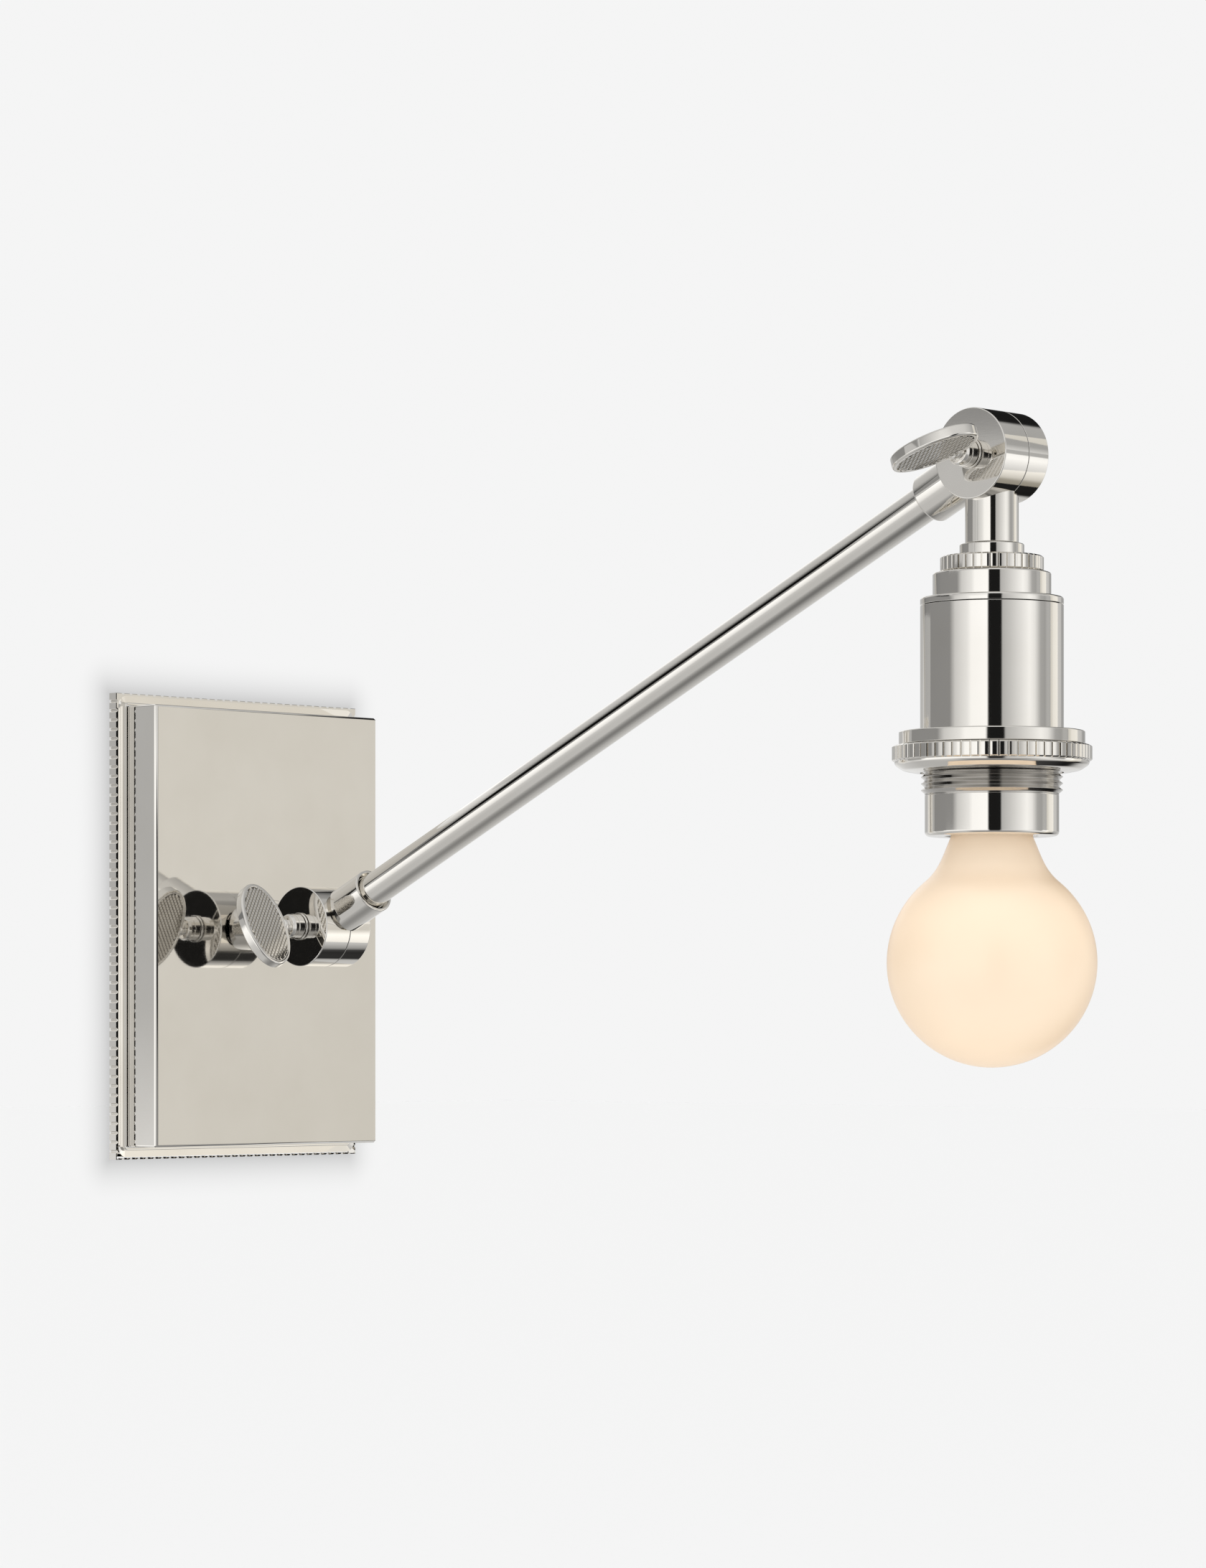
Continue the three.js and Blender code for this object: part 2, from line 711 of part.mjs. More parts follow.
function socketCap() {
  const { edge, wall } = head;
  const bore = nipple.radius + FIT;
  return hung(
    [
      [bore, drop.capTop],
      [head.cap - edge, drop.capTop],
      [head.cap, drop.capTop + edge],
      [head.cap, drop.capRimTop],
      [head.housing - edge, drop.capRimTop],
      [head.housing, drop.capRimTop + edge],
      [head.housing, drop.housingTop - FIT],
      [head.cap - wall, drop.housingTop - FIT],
      [head.cap - wall, drop.capTop + wall],
      [bore, drop.capTop + wall],
    ],
    ROUND_LARGE,
  );
}

function shadeCarrier() {
  const c = carrier;
  const threadStart = drop.flangeBottom + 1;
  const crests = [];
  for (let i = 0; i < c.threadTurns; i += 1) {
    const z = threadStart + i * c.threadPitch;
    crests.push([c.threadRoot, z], [c.threadCrest, z + c.threadPitch / 2]);
  }
  const turn = c.sleeveRound;
  const rounding = arc(c.sleeve - turn, 0, turn, 0, 90, 4).map(([r, z]) => [r, drop.mouth - turn + z]);
  return hung(
    [
      [c.bore, drop.flangeTop + FIT],
      [c.flange - head.edge, drop.flangeTop + FIT],
      [c.flange, drop.flangeTop + FIT + head.edge],
      [c.flange, drop.flangeBottom],
      [c.threadRoot, drop.flangeBottom],
      ...crests,
      [c.threadRoot, drop.threadEnd],
      [c.sleeve, drop.threadEnd],
      ...rounding,
      [c.mouth, drop.mouth],
      [c.mouth, drop.mouth - c.mouthWall],
      [c.bore, drop.mouth - c.mouthWall],
    ],
    ROUND_LARGE,
  );
}

const ringTop = drop.flangeBottom + FIT;
function shadeRingSolid() {
  const bore = carrier.threadCrest + FIT;
  const ribBottom = ringTop + shadeRing.ribHeight;
  const outline = coinOutline(shadeRing.radius, shadeRing.ribs, shadeRing.ribDepth);
  outline.holes.push(circleHole(bore));
  const band = extruded(outline, shadeRing.ribHeight, 32).translate(0, 0, -ribBottom);
  const base = shadeRing.radius - shadeRing.ribDepth;
  const sweep = base - bore - 1;
  const underside = arc(0, 0, 1, 0, 90, 6).map(([c, s]) => [
    base - sweep + sweep * c,
    ribBottom + shadeRing.underside * s,
  ]);
  const body = hung(
    [[bore, ringTop + 1], [base, ringTop + 1], ...underside, [bore, ribBottom + shadeRing.underside]],
    ROUND_LARGE,
  );
  const recess = hungRing(gasket.inner - FIT, gasket.outer + FIT, ringTop - 1, ringTop + gasket.recess);
  return cut(join(band, body), recess);
}

function lampholderBody() {
  const { radius, wall, floor, upperDepth } = holder;
  const socket = shell.radius + FIT;
  const contactHole = 1.5;
  const top = drop.holderFloor - floor - upperDepth;
  return hung([
    [radius - wall, top],
    [radius, top],
    [radius, drop.holderMouth],
    [socket, drop.holderMouth],
    [socket, drop.holderFloor],
    [contactHole, drop.holderFloor],
    [contactHole, drop.holderFloor - floor],
    [radius - wall, drop.holderFloor - floor],
  ]);
}

function lampholderCap() {
  const bottom = drop.holderFloor - holder.floor - holder.upperDepth - FIT;
  return hungRing(nipple.radius + FIT, holder.radius, bottom - holder.capThickness, bottom);
}

function screwShell() {
  const end = drop.holderMouth - 1;
  return hungRing(shell.radius - shell.wall, shell.radius, end - shell.length, end);
}

// Sprung tongue on the socket's floor that meets the lamp's tip.
function centreContact() {
  const { width, length, gauge, height } = contact;
  const profile = new THREE.Shape();
  profile.moveTo(-length / 2, 0);
  profile.lineTo(-length / 4, 0);
  profile.lineTo(length / 6, -height);
  profile.lineTo(length / 2, -height * 0.7);
  profile.lineTo(length / 2, -height * 0.7 + gauge);
  profile.lineTo(length / 6, -height + gauge);
  profile.lineTo(-length / 4, gauge);
  profile.lineTo(-length / 2, gauge);
  profile.closePath();
  const tongue = extruded(profile, width).translate(0, 0, -width / 2).rotateX(QUARTER);
  return tongue.translate(0, 0, -drop.holderFloor - gauge - FIT);
}

// ---------------------------------------------------------------- lamp
const capEnd = bulb.neckStart - 1;
const capTop = capEnd - bulb.capLength;

// Outer outline of the glass from the neck to the bottom of the globe, inset by a wall.
function globeOutline(inset, steps) {
  const radius = bulb.globe - inset;
  const { sin, cos } = { sin: Math.sin(bulb.tangent), cos: Math.cos(bulb.tangent) };
  const meet = new THREE.Vector2(radius * cos, bulb.centreDrop - radius * sin);
  const neck = new THREE.Vector2(bulb.neck - inset, bulb.neckStart);
  const reach = (meet.y - neck.y) * 0.5;
  const sweep = new THREE.CubicBezierCurve(
    neck,
    new THREE.Vector2(neck.x + reach * 0.42, neck.y + reach),
    new THREE.Vector2(meet.x - reach * sin * 0.8, meet.y - reach * cos * 0.8),
    meet,
  );
  const neckPoints = sweep.getPoints(steps).map((p) => [p.x, p.y]);
  const start = -THREE.MathUtils.radToDeg(bulb.tangent);
  const globe = arc(0, bulb.centreDrop, radius, start, 90, 2 * steps);
  return [...neckPoints.slice(0, -1), ...globe.slice(0, -1), [0, bulb.centreDrop + radius]];
}

function bulbGlass() {
  const neckInCap = bulb.cap - bulb.capRelief - bulb.capWall - FIT;
  const seat = capEnd - 6;
  const outside = [[neckInCap, seat], [neckInCap, bulb.neckStart - FIT], ...globeOutline(0, 5)];
  const inside = globeOutline(bulb.glass, 4).reverse();
  return hung([...outside, ...inside, [neckInCap - bulb.glass, seat]]);
}

function bulbCap() {
  const { cap, capRelief, capPitch, capWall } = bulb;
  const turns = Math.floor((bulb.capLength - 3) / capPitch);
  const outside = [[bulb.insulator + FIT, capTop], [cap - capRelief, capTop + 1]];
  for (let i = 0; i < turns; i += 1) {
    const z = capTop + 1.5 + i * capPitch;
    outside.push([cap - capRelief, z], [cap, z + capPitch * 0.35], [cap, z + capPitch * 0.6]);
  }
  outside.push([cap - capRelief, capEnd - 2], [cap - capRelief, capEnd]);
  const bore = cap - capRelief - capWall;
  return hung([...outside, [bore, capEnd], [bore, capTop + 1 + capWall], [bulb.insulator + FIT, capTop + capWall]]);
}

function bulbInsulator() {
  const { insulator, insulatorHeight, tip } = bulb;
  return hung(
    [
      [tip + FIT, capTop - insulatorHeight],
      [insulator * 0.6, capTop - insulatorHeight],
      [insulator, capTop - FIT],
      [insulator, capTop + 1],
      [tip + FIT, capTop + 1],
    ],
    32,
  );
}

function bulbTip() {
  const top = capTop - bulb.insulatorHeight - bulb.tipHeight;
  return hung(
    [
      [0, top],
      [bulb.tip * 0.7, top + bulb.tipHeight * 0.4],
      [bulb.tip, top + bulb.tipHeight],
      [bulb.tip, capTop + 1],
      [0, capTop + 1],
    ],
    32,
  );
}

function makeHead() {
  const group = new THREE.Group();
  const bore = nipple.radius + FIT;
  const nippleTop = drop.collarTop - nipple.intoStem;
  const nutTop = drop.capTop + head.wall + FIT;
  const terminalSeat = drop.holderFloor - holder.floor - FIT;
  const lockNut = hexNut(nippleNut.corner, bore, nippleNut.thickness);
  const terminals = [
    ["terminal_screw_line", 1, brass],
    ["terminal_screw_neutral", -1, zincSteel],
  ].map(([name, side, look]) => {
    const mesh = piece(name, rod(terminal.radius, 0, terminal.height, 20), look);
    mesh.position.set(side * terminal.offset, 0, -terminalSeat);
    return mesh;
  });
  group.add(
    piece("head_stem_knuckle_half", headKnuckleHalf(), nickel),
    piece("stem_collar", hungRing(bore, head.collar, drop.collarTop, drop.lockRingTop - FIT), nickel),
    piece("cap_lock_ring", capLockRing(), nickel),
    piece("socket_cap", socketCap(), nickel),
    piece(
      "socket_housing",
      hungRing(head.housing - head.wall, head.housing, drop.housingTop, drop.flangeTop, ROUND_LARGE),
      nickel,
    ),
    piece("shade_carrier", shadeCarrier(), nickel),
    piece("nipple", hungRing(nipple.bore, nipple.radius, nippleTop, nippleTop + nipple.length, 32), zincSteel),
    piece("nipple_nut", lockNut.translate(0, 0, -nutTop - nippleNut.thickness), brass),
    piece("head_leads", hungRing(0.8, leadRadius, leadStart, nippleTop + nipple.length + 4, 12), leadSleeve),
    piece("lampholder_cap", lampholderCap(), ceramic),
    piece("lampholder_body", lampholderBody(), ceramic),
    piece("screw_shell", screwShell(), brass),
    piece("centre_contact", centreContact(), brass),
    ...terminals,
    piece("shade_gasket", hungRing(gasket.inner, gasket.outer, ringTop, ringTop + gasket.thickness), rubber),
    piece("shade_ring", shadeRingSolid(), nickel),
    piece("bulb_glass", bulbGlass(), opalGlass),
    piece("bulb_cap", bulbCap(), aluminium),
    piece("bulb_insulator", bulbInsulator(), blackGlass),
    piece("bulb_tip", bulbTip(), brass),
  );
  return group;
}

// ---------------------------------------------------------------- assembly
const group = new THREE.Group();
const headGroup = makeHead();
headGroup.position.set(
  0,
  -wallStem.reach - arm.length * Math.cos(arm.rise),
  arm.length * Math.sin(arm.rise),
);
group.add(makeBackplate(), makeWallStem(), makeArm(), headGroup);

export default group;
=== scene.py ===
"""Looks of the swing arm wall sconce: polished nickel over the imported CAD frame.

Lengths inside the shape functions are millimetres; publish() turns them into metres.
"""

import json
import math

import bmesh
import bpy
from mathutils import Matrix, Vector
from mathutils.geometry import tessellate_polygon


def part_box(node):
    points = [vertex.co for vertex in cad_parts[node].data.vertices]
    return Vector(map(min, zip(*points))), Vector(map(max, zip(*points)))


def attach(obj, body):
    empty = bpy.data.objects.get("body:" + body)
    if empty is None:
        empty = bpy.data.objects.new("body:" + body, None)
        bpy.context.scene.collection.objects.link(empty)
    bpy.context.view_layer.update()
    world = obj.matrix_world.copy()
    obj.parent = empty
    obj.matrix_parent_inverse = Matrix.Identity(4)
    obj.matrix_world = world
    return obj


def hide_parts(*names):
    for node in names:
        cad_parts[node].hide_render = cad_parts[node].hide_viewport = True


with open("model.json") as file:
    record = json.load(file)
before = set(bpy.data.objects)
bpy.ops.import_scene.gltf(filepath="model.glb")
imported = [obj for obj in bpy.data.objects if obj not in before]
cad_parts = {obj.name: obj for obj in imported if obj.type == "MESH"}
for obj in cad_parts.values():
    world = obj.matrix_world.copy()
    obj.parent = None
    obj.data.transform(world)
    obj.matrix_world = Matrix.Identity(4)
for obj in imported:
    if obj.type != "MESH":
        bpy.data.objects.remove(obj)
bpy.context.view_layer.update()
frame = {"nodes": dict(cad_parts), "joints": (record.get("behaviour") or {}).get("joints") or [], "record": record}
MM = 0.001
Y_AXIS, Z_AXIS = Vector((0, 1, 0)), Vector((0, 0, 1))


# ------------------------------------------------------------ places taken from the frame
def joint_place(name):
    found = next(j for j in frame["joints"] if j["name"] == name)
    return Vector(found["pos_m"]) / MM


def node_box(node):
    low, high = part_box(node)
    return Vector(low) / MM, Vector(high) / MM


LOWER_PIVOT = joint_place("arm_tilt")
UPPER_PIVOT = joint_place("head_tilt")
ARM_VECTOR = UPPER_PIVOT - LOWER_PIVOT
ARM_LENGTH = ARM_VECTOR.length
HEAD_AXIS = Matrix.Translation(Vector((0, UPPER_PIVOT.y, 0)))


def low_z(node):
    return node_box(node)[0].z


def high_z(node):
    return node_box(node)[1].z


def radius_of(node):
    low, high = node_box(node)
    return (high.x - low.x) / 2


# ------------------------------------------------------------ fixed small sizes
GAP = 0.3  # clearance left between neighbouring pieces
ROUND = 144  # sides of a turned piece

KNUCKLE_R = 17.2
KNUCKLE_HALF = 12.9
KNUCKLE_SIDES = 192
SPLIT = 1.1
SADDLE = 0.9
NECK_GAP = 1.5

TUBE_R = 7.1
COLLAR_R = 9.6  # the wall stem's and the arm's collars
NECK_R = 8.5
FERRULE_R = 9.9
HEAD_STEM_R = 10.1
HEAD_BORE = 5.3

PADDLE_LONG = 19.4  # half axes of the oval
PADDLE_SHORT = 11.6
PADDLE_HALF = 2.3
LOWER_KEY_TURN = math.radians(-27)
UPPER_KEY_TURN = math.radians(73)

RIB_DEPTH = 0.7
RIB_SHARE = 0.74


# ------------------------------------------------------------ mesh helpers
def new_object(name, mesh):
    obj = bpy.data.objects.new(name, mesh)
    bpy.context.scene.collection.objects.link(obj)
    return obj


def from_data(verts, faces, name="shape"):
    mesh = bpy.data.meshes.new(name)
    mesh.from_pydata(verts, [], faces)
    mesh.validate()
    bm = bmesh.new()
    bm.from_mesh(mesh)
    bmesh.ops.recalc_face_normals(bm, faces=bm.faces)
    bm.to_mesh(mesh)
    bm.free()
    return new_object(name, mesh)


def baked(obj):
    graph = bpy.context.evaluated_depsgraph_get()
    mesh = bpy.data.meshes.new_from_object(obj.evaluated_get(graph))
    old = obj.data
    obj.modifiers.clear()
    obj.data = mesh
    bpy.data.meshes.remove(old)
    return obj


def moved(obj, matrix):
    obj.data.transform(matrix)
    if matrix.determinant() < 0:
        obj.data.flip_normals()
    return obj


def boolean(obj, tool, operation):
    modifier = obj.modifiers.new("boolean", "BOOLEAN")
    modifier.operation = operation
    modifier.solver = "EXACT"
    modifier.object = tool
    bpy.context.view_layer.update()
    baked(obj)
    bpy.data.objects.remove(tool)


def united(first, *others):
    for other in others:
        boolean(first, other, "UNION")
    return first


def without(first, *tools):
    for tool in tools:
        boolean(first, tool, "DIFFERENCE")
    return first


def merged(first, *others):
    """One object out of several shells, without working out where they cross."""
    bm = bmesh.new()
    for obj in (first, *others):
        bm.from_mesh(obj.data)
    bm.to_mesh(first.data)
    bm.free()
    for obj in others:
        bpy.data.objects.remove(obj)
    return first


def corner_arc(before, corner, after, fillet, steps=4):
    """The points that round one corner of an outline."""
    to_before = (before - corner).normalized()
    to_after = (after - corner).normalized()
    half = to_before.angle(to_after) / 2
    if half > math.radians(88) or half < math.radians(2):
        return [corner]
    room = 0.48 * min((before - corner).length, (after - corner).length)
    reach = min(fillet / math.tan(half), room)
    real = reach * math.tan(half)
    centre = corner + (to_before + to_after).normalized() * (real / math.sin(half))
    start = corner + to_before * reach - centre
    stop = corner + to_after * reach - centre
    turn = start.angle(stop)
    points = []
    for i in range(steps + 1):
        share = i / steps
        a = math.sin((1 - share) * turn) / math.sin(turn)
        b = math.sin(share * turn) / math.sin(turn)
        points.append(centre + start * a + stop * b)
    return points


def outline(points, closed):
    """Rounds the corners of (r, z, fillet) points; a point without a fillet stays sharp."""
    spots = [Vector((p[0], p[1])) for p in points]
    result = []
    count = len(points)
    for i, point in enumerate(points):
        ends = not closed and i in (0, count - 1)
        if len(point) < 3 or point[2] <= 0 or ends:
            result.append(spots[i])
        else:
            result += corner_arc(spots[i - 1], spots[i], spots[(i + 1) % count], point[2])
    return result


def turned(points, segments=ROUND):
    """A solid of revolution about Z."""
    closed = points[0][0] > 0 or points[-1][0] > 0
    path = outline(points, closed)
    verts, rings = [], []
    for p in path:
        if p.x < 1e-6:
            rings.append([len(verts)])
            verts.append((0, 0, p.y))
            continue
        rings.append(list(range(len(verts), len(verts) + segments)))
        for i in range(segments):
            angle = 2 * math.pi * i / segments
            verts.append((p.x * math.cos(angle), p.x * math.sin(angle), p.y))
    pairs = list(zip(rings, rings[1:]))
    if closed:
        pairs.append((rings[-1], rings[0]))
    faces = []
    for a, b in pairs:
        for i in range(segments):
            j = (i + 1) % segments
            face = [a[i % len(a)], a[j % len(a)], b[j % len(b)], b[i % len(b)]]
            unique = list(dict.fromkeys(face))
            if len(unique) > 2:
                faces.append(unique)
    return from_data(verts, faces)


def rod(radius, low, high, segments):
    return turned([(0, low), (radius, low), (radius, high), (0, high)], segments)


def strip(first, second, count):
    """Quads between two closed loops of vertices, each told by the number of its first one."""
    steps = [(i, (i + 1) % count) for i in range(count)]
    return [(first + i, first + j, second + j, second + i) for i, j in steps]


def loops_solid(loops, cap=True):
    """A closed body through loops of equal point counts, capped at both ends."""
    verts = [v for loop in loops for v in loop]
    n = len(loops[0])
    faces = []
    for k in range(len(loops) - 1):
        faces += strip(k * n, (k + 1) * n, n)
    if cap:
        for k in (0, len(loops) - 1):
            flat = [Vector((v[0], v[1], 0)) for v in loops[k]]
            faces += [[k * n + t for t in tri] for tri in tessellate_polygon([flat])]
    return from_data(verts, faces)


def ring_solid(loops):
    """A closed ring: the last loop joins the first."""
    verts = [v for loop in loops for v in loop]
    n = len(loops[0])
    faces = []
    for k in range(len(loops)):
        faces += strip(k * n, (k + 1) % len(loops) * n, n)
    return from_data(verts, faces)


def shaded(obj, angle):
    """Smooths the faces that meet at less than an angle in degrees."""
    bm = bmesh.new()
    bm.from_mesh(obj.data)
    bmesh.ops.remove_doubles(bm, verts=bm.verts, dist=1e-4)
    bmesh.ops.dissolve_degenerate(bm, edges=bm.edges, dist=1e-5)
    for face in bm.faces:
        face.smooth = True
    for edge in bm.edges:
        edge.smooth = len(edge.link_faces) == 2 and edge.calc_face_angle(0) < math.radians(angle)
    bm.to_mesh(obj.data)
    bm.free()
    modifier = obj.modifiers.new("normals", "WEIGHTED_NORMAL")
    modifier.keep_sharp = True
    modifier.weight = 50
    return baked(obj)


def publish(obj, name, nodes, material, angle=34.0):
    """Turns a finished shape into a piece that stands for CAD nodes, in metres."""
    shaded(obj, angle)
    obj.data.transform(Matrix.Scale(MM, 4))
    obj.name = name
    obj.data.name = name
    obj.data.materials.clear()
    obj.data.materials.append(material)
    node = nodes[0]
    body = next(b for b, members in frame["record"]["behaviour"]["bodies"].items() if node in members)
    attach(obj, body)
    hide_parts(*nodes)


# ------------------------------------------------------------ materials
def material(name):
    made = bpy.data.materials.new(name)
    made.use_nodes = True
    tree = made.node_tree
    return made, tree, tree.nodes["Principled BSDF"]


def add(tree, kind, **settings):
    node = tree.nodes.new(kind)
    for key, value in settings.items():
        setattr(node, key, value)
    return node


def maths(tree, operation, value, second):
    node = add(tree, "ShaderNodeMath", operation=operation)
    node.inputs[1].default_value = second
    tree.links.new(value, node.inputs[0])
    return node.outputs["Value"]


def vector_maths(tree, operation, vector, second=(0, 0, 0)):
    """One step on a vector; a length or a dot product comes out as a value."""
    node = add(tree, "ShaderNodeVectorMath", operation=operation)
    node.inputs[1].default_value = second
    tree.links.new(vector, node.inputs[0])
    return node.outputs["Value" if operation in ("LENGTH", "DOT_PRODUCT") else "Vector"]


def object_coordinates(tree, scale=(1, 1, 1)):
    place = add(tree, "ShaderNodeTexCoord")
    mapping = add(tree, "ShaderNodeMapping")
    mapping.inputs["Scale"].default_value = scale
    tree.links.new(place.outputs["Object"], mapping.inputs["Vector"])
    return mapping.outputs["Vector"]


def noise_value(tree, vector, scale, detail=4.0, roughness=0.55):
    node = add(tree, "ShaderNodeTexNoise")
    node.inputs["Scale"].default_value = scale
    node.inputs["Detail"].default_value = detail
    node.inputs["Roughness"].default_value = roughness
    tree.links.new(vector, node.inputs["Vector"])
    return node.outputs["Fac"]


def ranged(tree, value, low, high, new_low, new_high):
    node = add(tree, "ShaderNodeMapRange")
    node.inputs["From Min"].default_value = low
    node.inputs["From Max"].default_value = high
    node.inputs["To Min"].default_value = new_low
    node.inputs["To Max"].default_value = new_high
    tree.links.new(value, node.inputs["Value"])
    return node.outputs["Result"]


def two_colours(tree, factor, first, second):
    node = add(tree, "ShaderNodeMix", data_type="RGBA")
    node.inputs["A"].default_value = (*first, 1)
    node.inputs["B"].default_value = (*second, 1)
    tree.links.new(factor, node.inputs["Factor"])
    return node.outputs["Result"]


def bumped(tree, shader, height, strength, distance):
    node = add(tree, "ShaderNodeBump")
    node.inputs["Strength"].default_value = strength
    node.inputs["Distance"].default_value = distance
    tree.links.new(height, node.inputs["Height"])
    tree.links.new(node.outputs["Normal"], shader.inputs["Normal"])


def metal(name, light, dark, smooth, rough, grain, grain_scale, bump):
    """Metal whose colour and gloss drift with handling haze and fine polishing lines."""
    made, tree, shader = material(name)
    shader.inputs["Metallic"].default_value = 1.0
    where = object_coordinates(tree)
    haze = noise_value(tree, where, 22.0, 5.0)
    colour = two_colours(tree, ranged(tree, haze, 0.35, 0.7, 0, 1), light, dark)
    tree.links.new(colour, shader.inputs["Base Color"])
    lines = noise_value(tree, object_coordinates(tree, grain_scale), grain, 6.0, 0.7)
    mix = add(tree, "ShaderNodeMath", operation="MULTIPLY_ADD")
    mix.inputs[1].default_value = 0.45
    tree.links.new(lines, mix.inputs[0])
    tree.links.new(haze, mix.inputs[2])
    tree.links.new(ranged(tree, mix.outputs[0], 0.45, 0.95, smooth, rough), shader.inputs["Roughness"])
    bumped(tree, shader, lines, bump, 0.00002)
    return made


def plain(name, light, dark, smooth, rough, scale, bump, metallic=0.0):
    """Non-metal with a mottled colour and a fine surface texture."""
    made, tree, shader = material(name)
    shader.inputs["Metallic"].default_value = metallic
    where = object_coordinates(tree)
    mottle = noise_value(tree, where, scale, 6.0)
    tree.links.new(two_colours(tree, mottle, light, dark), shader.inputs["Base Color"])
    tree.links.new(ranged(tree, mottle, 0.3, 0.7, smooth, rough), shader.inputs["Roughness"])
    bumped(tree, shader, noise_value(tree, where, scale * 8, 3.0), bump, 0.0001)
    return made


def opal_glass():
    """Opal glass: milk white with a faint glow, painted darker and warmer toward the outline as shade where the
    glass turns away.
    """
    made, tree, shader = material("opal_glass")
    where = object_coordinates(tree)
    cloud = noise_value(tree, where, 30.0, 3.0)
    # Painted shade: the colour, glow included, darkens and warms toward the globe's outline.
    facing = add(tree, "ShaderNodeLayerWeight")
    facing.inputs["Blend"].default_value = 0.35
    edge = ranged(tree, facing.outputs["Facing"], 0.1, 0.9, 0.0, 1.0)
    warm = two_colours(tree, edge, (0.96, 0.78, 0.59), (0.84, 0.64, 0.44))
    mix = add(tree, "ShaderNodeMix", data_type="RGBA", blend_type="MULTIPLY")
    mix.inputs["Factor"].default_value = 0.06
    tree.links.new(warm, mix.inputs["A"])
    tree.links.new(cloud, mix.inputs["B"])
    tree.links.new(mix.outputs["Result"], shader.inputs["Base Color"])
    shader.inputs["Roughness"].default_value = 0.35
    shader.inputs["Coat Weight"].default_value = 0.25
    shader.inputs["Coat Roughness"].default_value = 0.12
    tree.links.new(warm, shader.inputs["Emission Color"])
    shader.inputs["Emission Strength"].default_value = 0.25
    return made


NICKEL = metal(
    "polished_nickel", (0.84, 0.818, 0.778), (0.8, 0.775, 0.73), 0.03, 0.065, 260.0, (1, 1, 9), 0.05
)
KNURLED = metal(
    "polished_nickel_knurled", (0.86, 0.835, 0.79), (0.76, 0.735, 0.69), 0.05, 0.12, 300.0, (1, 1, 1), 0.2
)
# Darker nickel for the carrier's thread: painted shade on the thread below the shade ring.
SHADED_THREAD_NICKEL = metal(
    "painted_shade_thread_nickel", (0.62, 0.6, 0.57), (0.45, 0.435, 0.41), 0.06, 0.14, 300.0, (1, 1, 1), 0.1
)
# Dark nickel for the floor between the knurls: painted shade in the knurling's valleys.
PAINTED_SHADE_NICKEL = metal(
    "painted_shade_nickel", (0.2, 0.19, 0.17), (0.13, 0.12, 0.11), 0.22, 0.36, 300.0, (1, 1, 1), 0.1
)
ZINC = metal("zinc_steel", (0.63, 0.64, 0.65), (0.5, 0.5, 0.5), 0.28, 0.48, 180.0, (1, 1, 12), 0.4)
BRASS = metal("brass", (0.75, 0.55, 0.25), (0.62, 0.43, 0.18), 0.2, 0.38, 220.0, (1, 1, 6), 0.3)
ALUMINIUM = metal("aluminium", (0.72, 0.73, 0.74), (0.6, 0.61, 0.62), 0.22, 0.36, 240.0, (1, 1, 10), 0.3)
RUBBER = plain("rubber", (0.012, 0.012, 0.012), (0.03, 0.03, 0.03), 0.7, 0.9, 400.0, 0.3)
CERAMIC = plain("ceramic", (0.85, 0.83, 0.78), (0.75, 0.73, 0.68), 0.2, 0.4, 60.0, 0.15)
LEAD = plain("lead_sleeve", (0.75, 0.75, 0.72), (0.62, 0.62, 0.6), 0.5, 0.7, 300.0, 0.2)
BLACK_GLASS = plain("black_glass", (0.008, 0.008, 0.01), (0.02, 0.02, 0.02), 0.1, 0.2, 200.0, 0.05)
GREEN = plain("green_paint", (0.02, 0.2, 0.06), (0.03, 0.27, 0.09), 0.3, 0.5, 200.0, 0.2, 0.4)
OPAL = opal_glass()
BY_SLOT = {
    "polished_nickel": NICKEL,
    "zinc_steel": ZINC,
    "brass": BRASS,
    "rubber": RUBBER,
    "ceramic": CERAMIC,
    "lead_sleeve": LEAD,
    "aluminium": ALUMINIUM,
    "opal_glass": OPAL,
    "black_glass": BLACK_GLASS,
    "green_paint": GREEN,
}
for part in frame["record"]["subparts"]:
    node_mesh = frame["nodes"][part["node"]].data
    node_mesh.materials.clear()
    node_mesh.materials.append(BY_SLOT[part["material_slot"]])


# ------------------------------------------------------------ backplate
def round_rectangle(width, height, radius, offset, level, steps=6):
    """A loop round a rectangle, grown by offset, in the XY plane at a level."""
    loop = []
    for quarter, (sx, sz) in enumerate(((1, 1), (-1, 1), (-1, -1), (1, -1))):
        centre = Vector((sx * (width / 2 - radius), sz * (height / 2 - radius)))
        for i in range(steps + 1):
            angle = math.pi / 2 * (quarter + i / steps)
            reach = max(radius + offset, 0)
            spot = centre + Vector((math.cos(angle), math.sin(angle))) * reach
            shrink = min(radius + offset, 0)
            spot += Vector((sx, sz)) * shrink
            loop.append((spot.x, spot.y, level))
    return loop


TO_ROOM = Matrix.Rotation(math.pi / 2, 4, "X")  # height above the wall, along -Y
STEM_HOLE = 6.5  # radius of the pan's hole and of the washer round it


def backplate_pan():
    low, high = node_box("backplate_pan")
    width, height, front = high.x - low.x, high.z - low.z, -low.y
    wall, corner = 2.0, 0.8
    section = [(0, 0), (0, front - 1.5), (-0.08, front - 1.32), (-0.82, front - 0.16), (-0.98, front)]
    inner = [(-wall, front - wall), (-wall, 0)]
    outside = [round_rectangle(width, height, corner, o, z) for o, z in section]
    inside = [round_rectangle(width, height, corner, o, z) for o, z in inner]
    shell = ring_solid_with_floor(outside, inside)
    stem_hole = rod(STEM_HOLE, -5, front + 5, 64)
    return moved(without(shell, stem_hole), TO_ROOM)


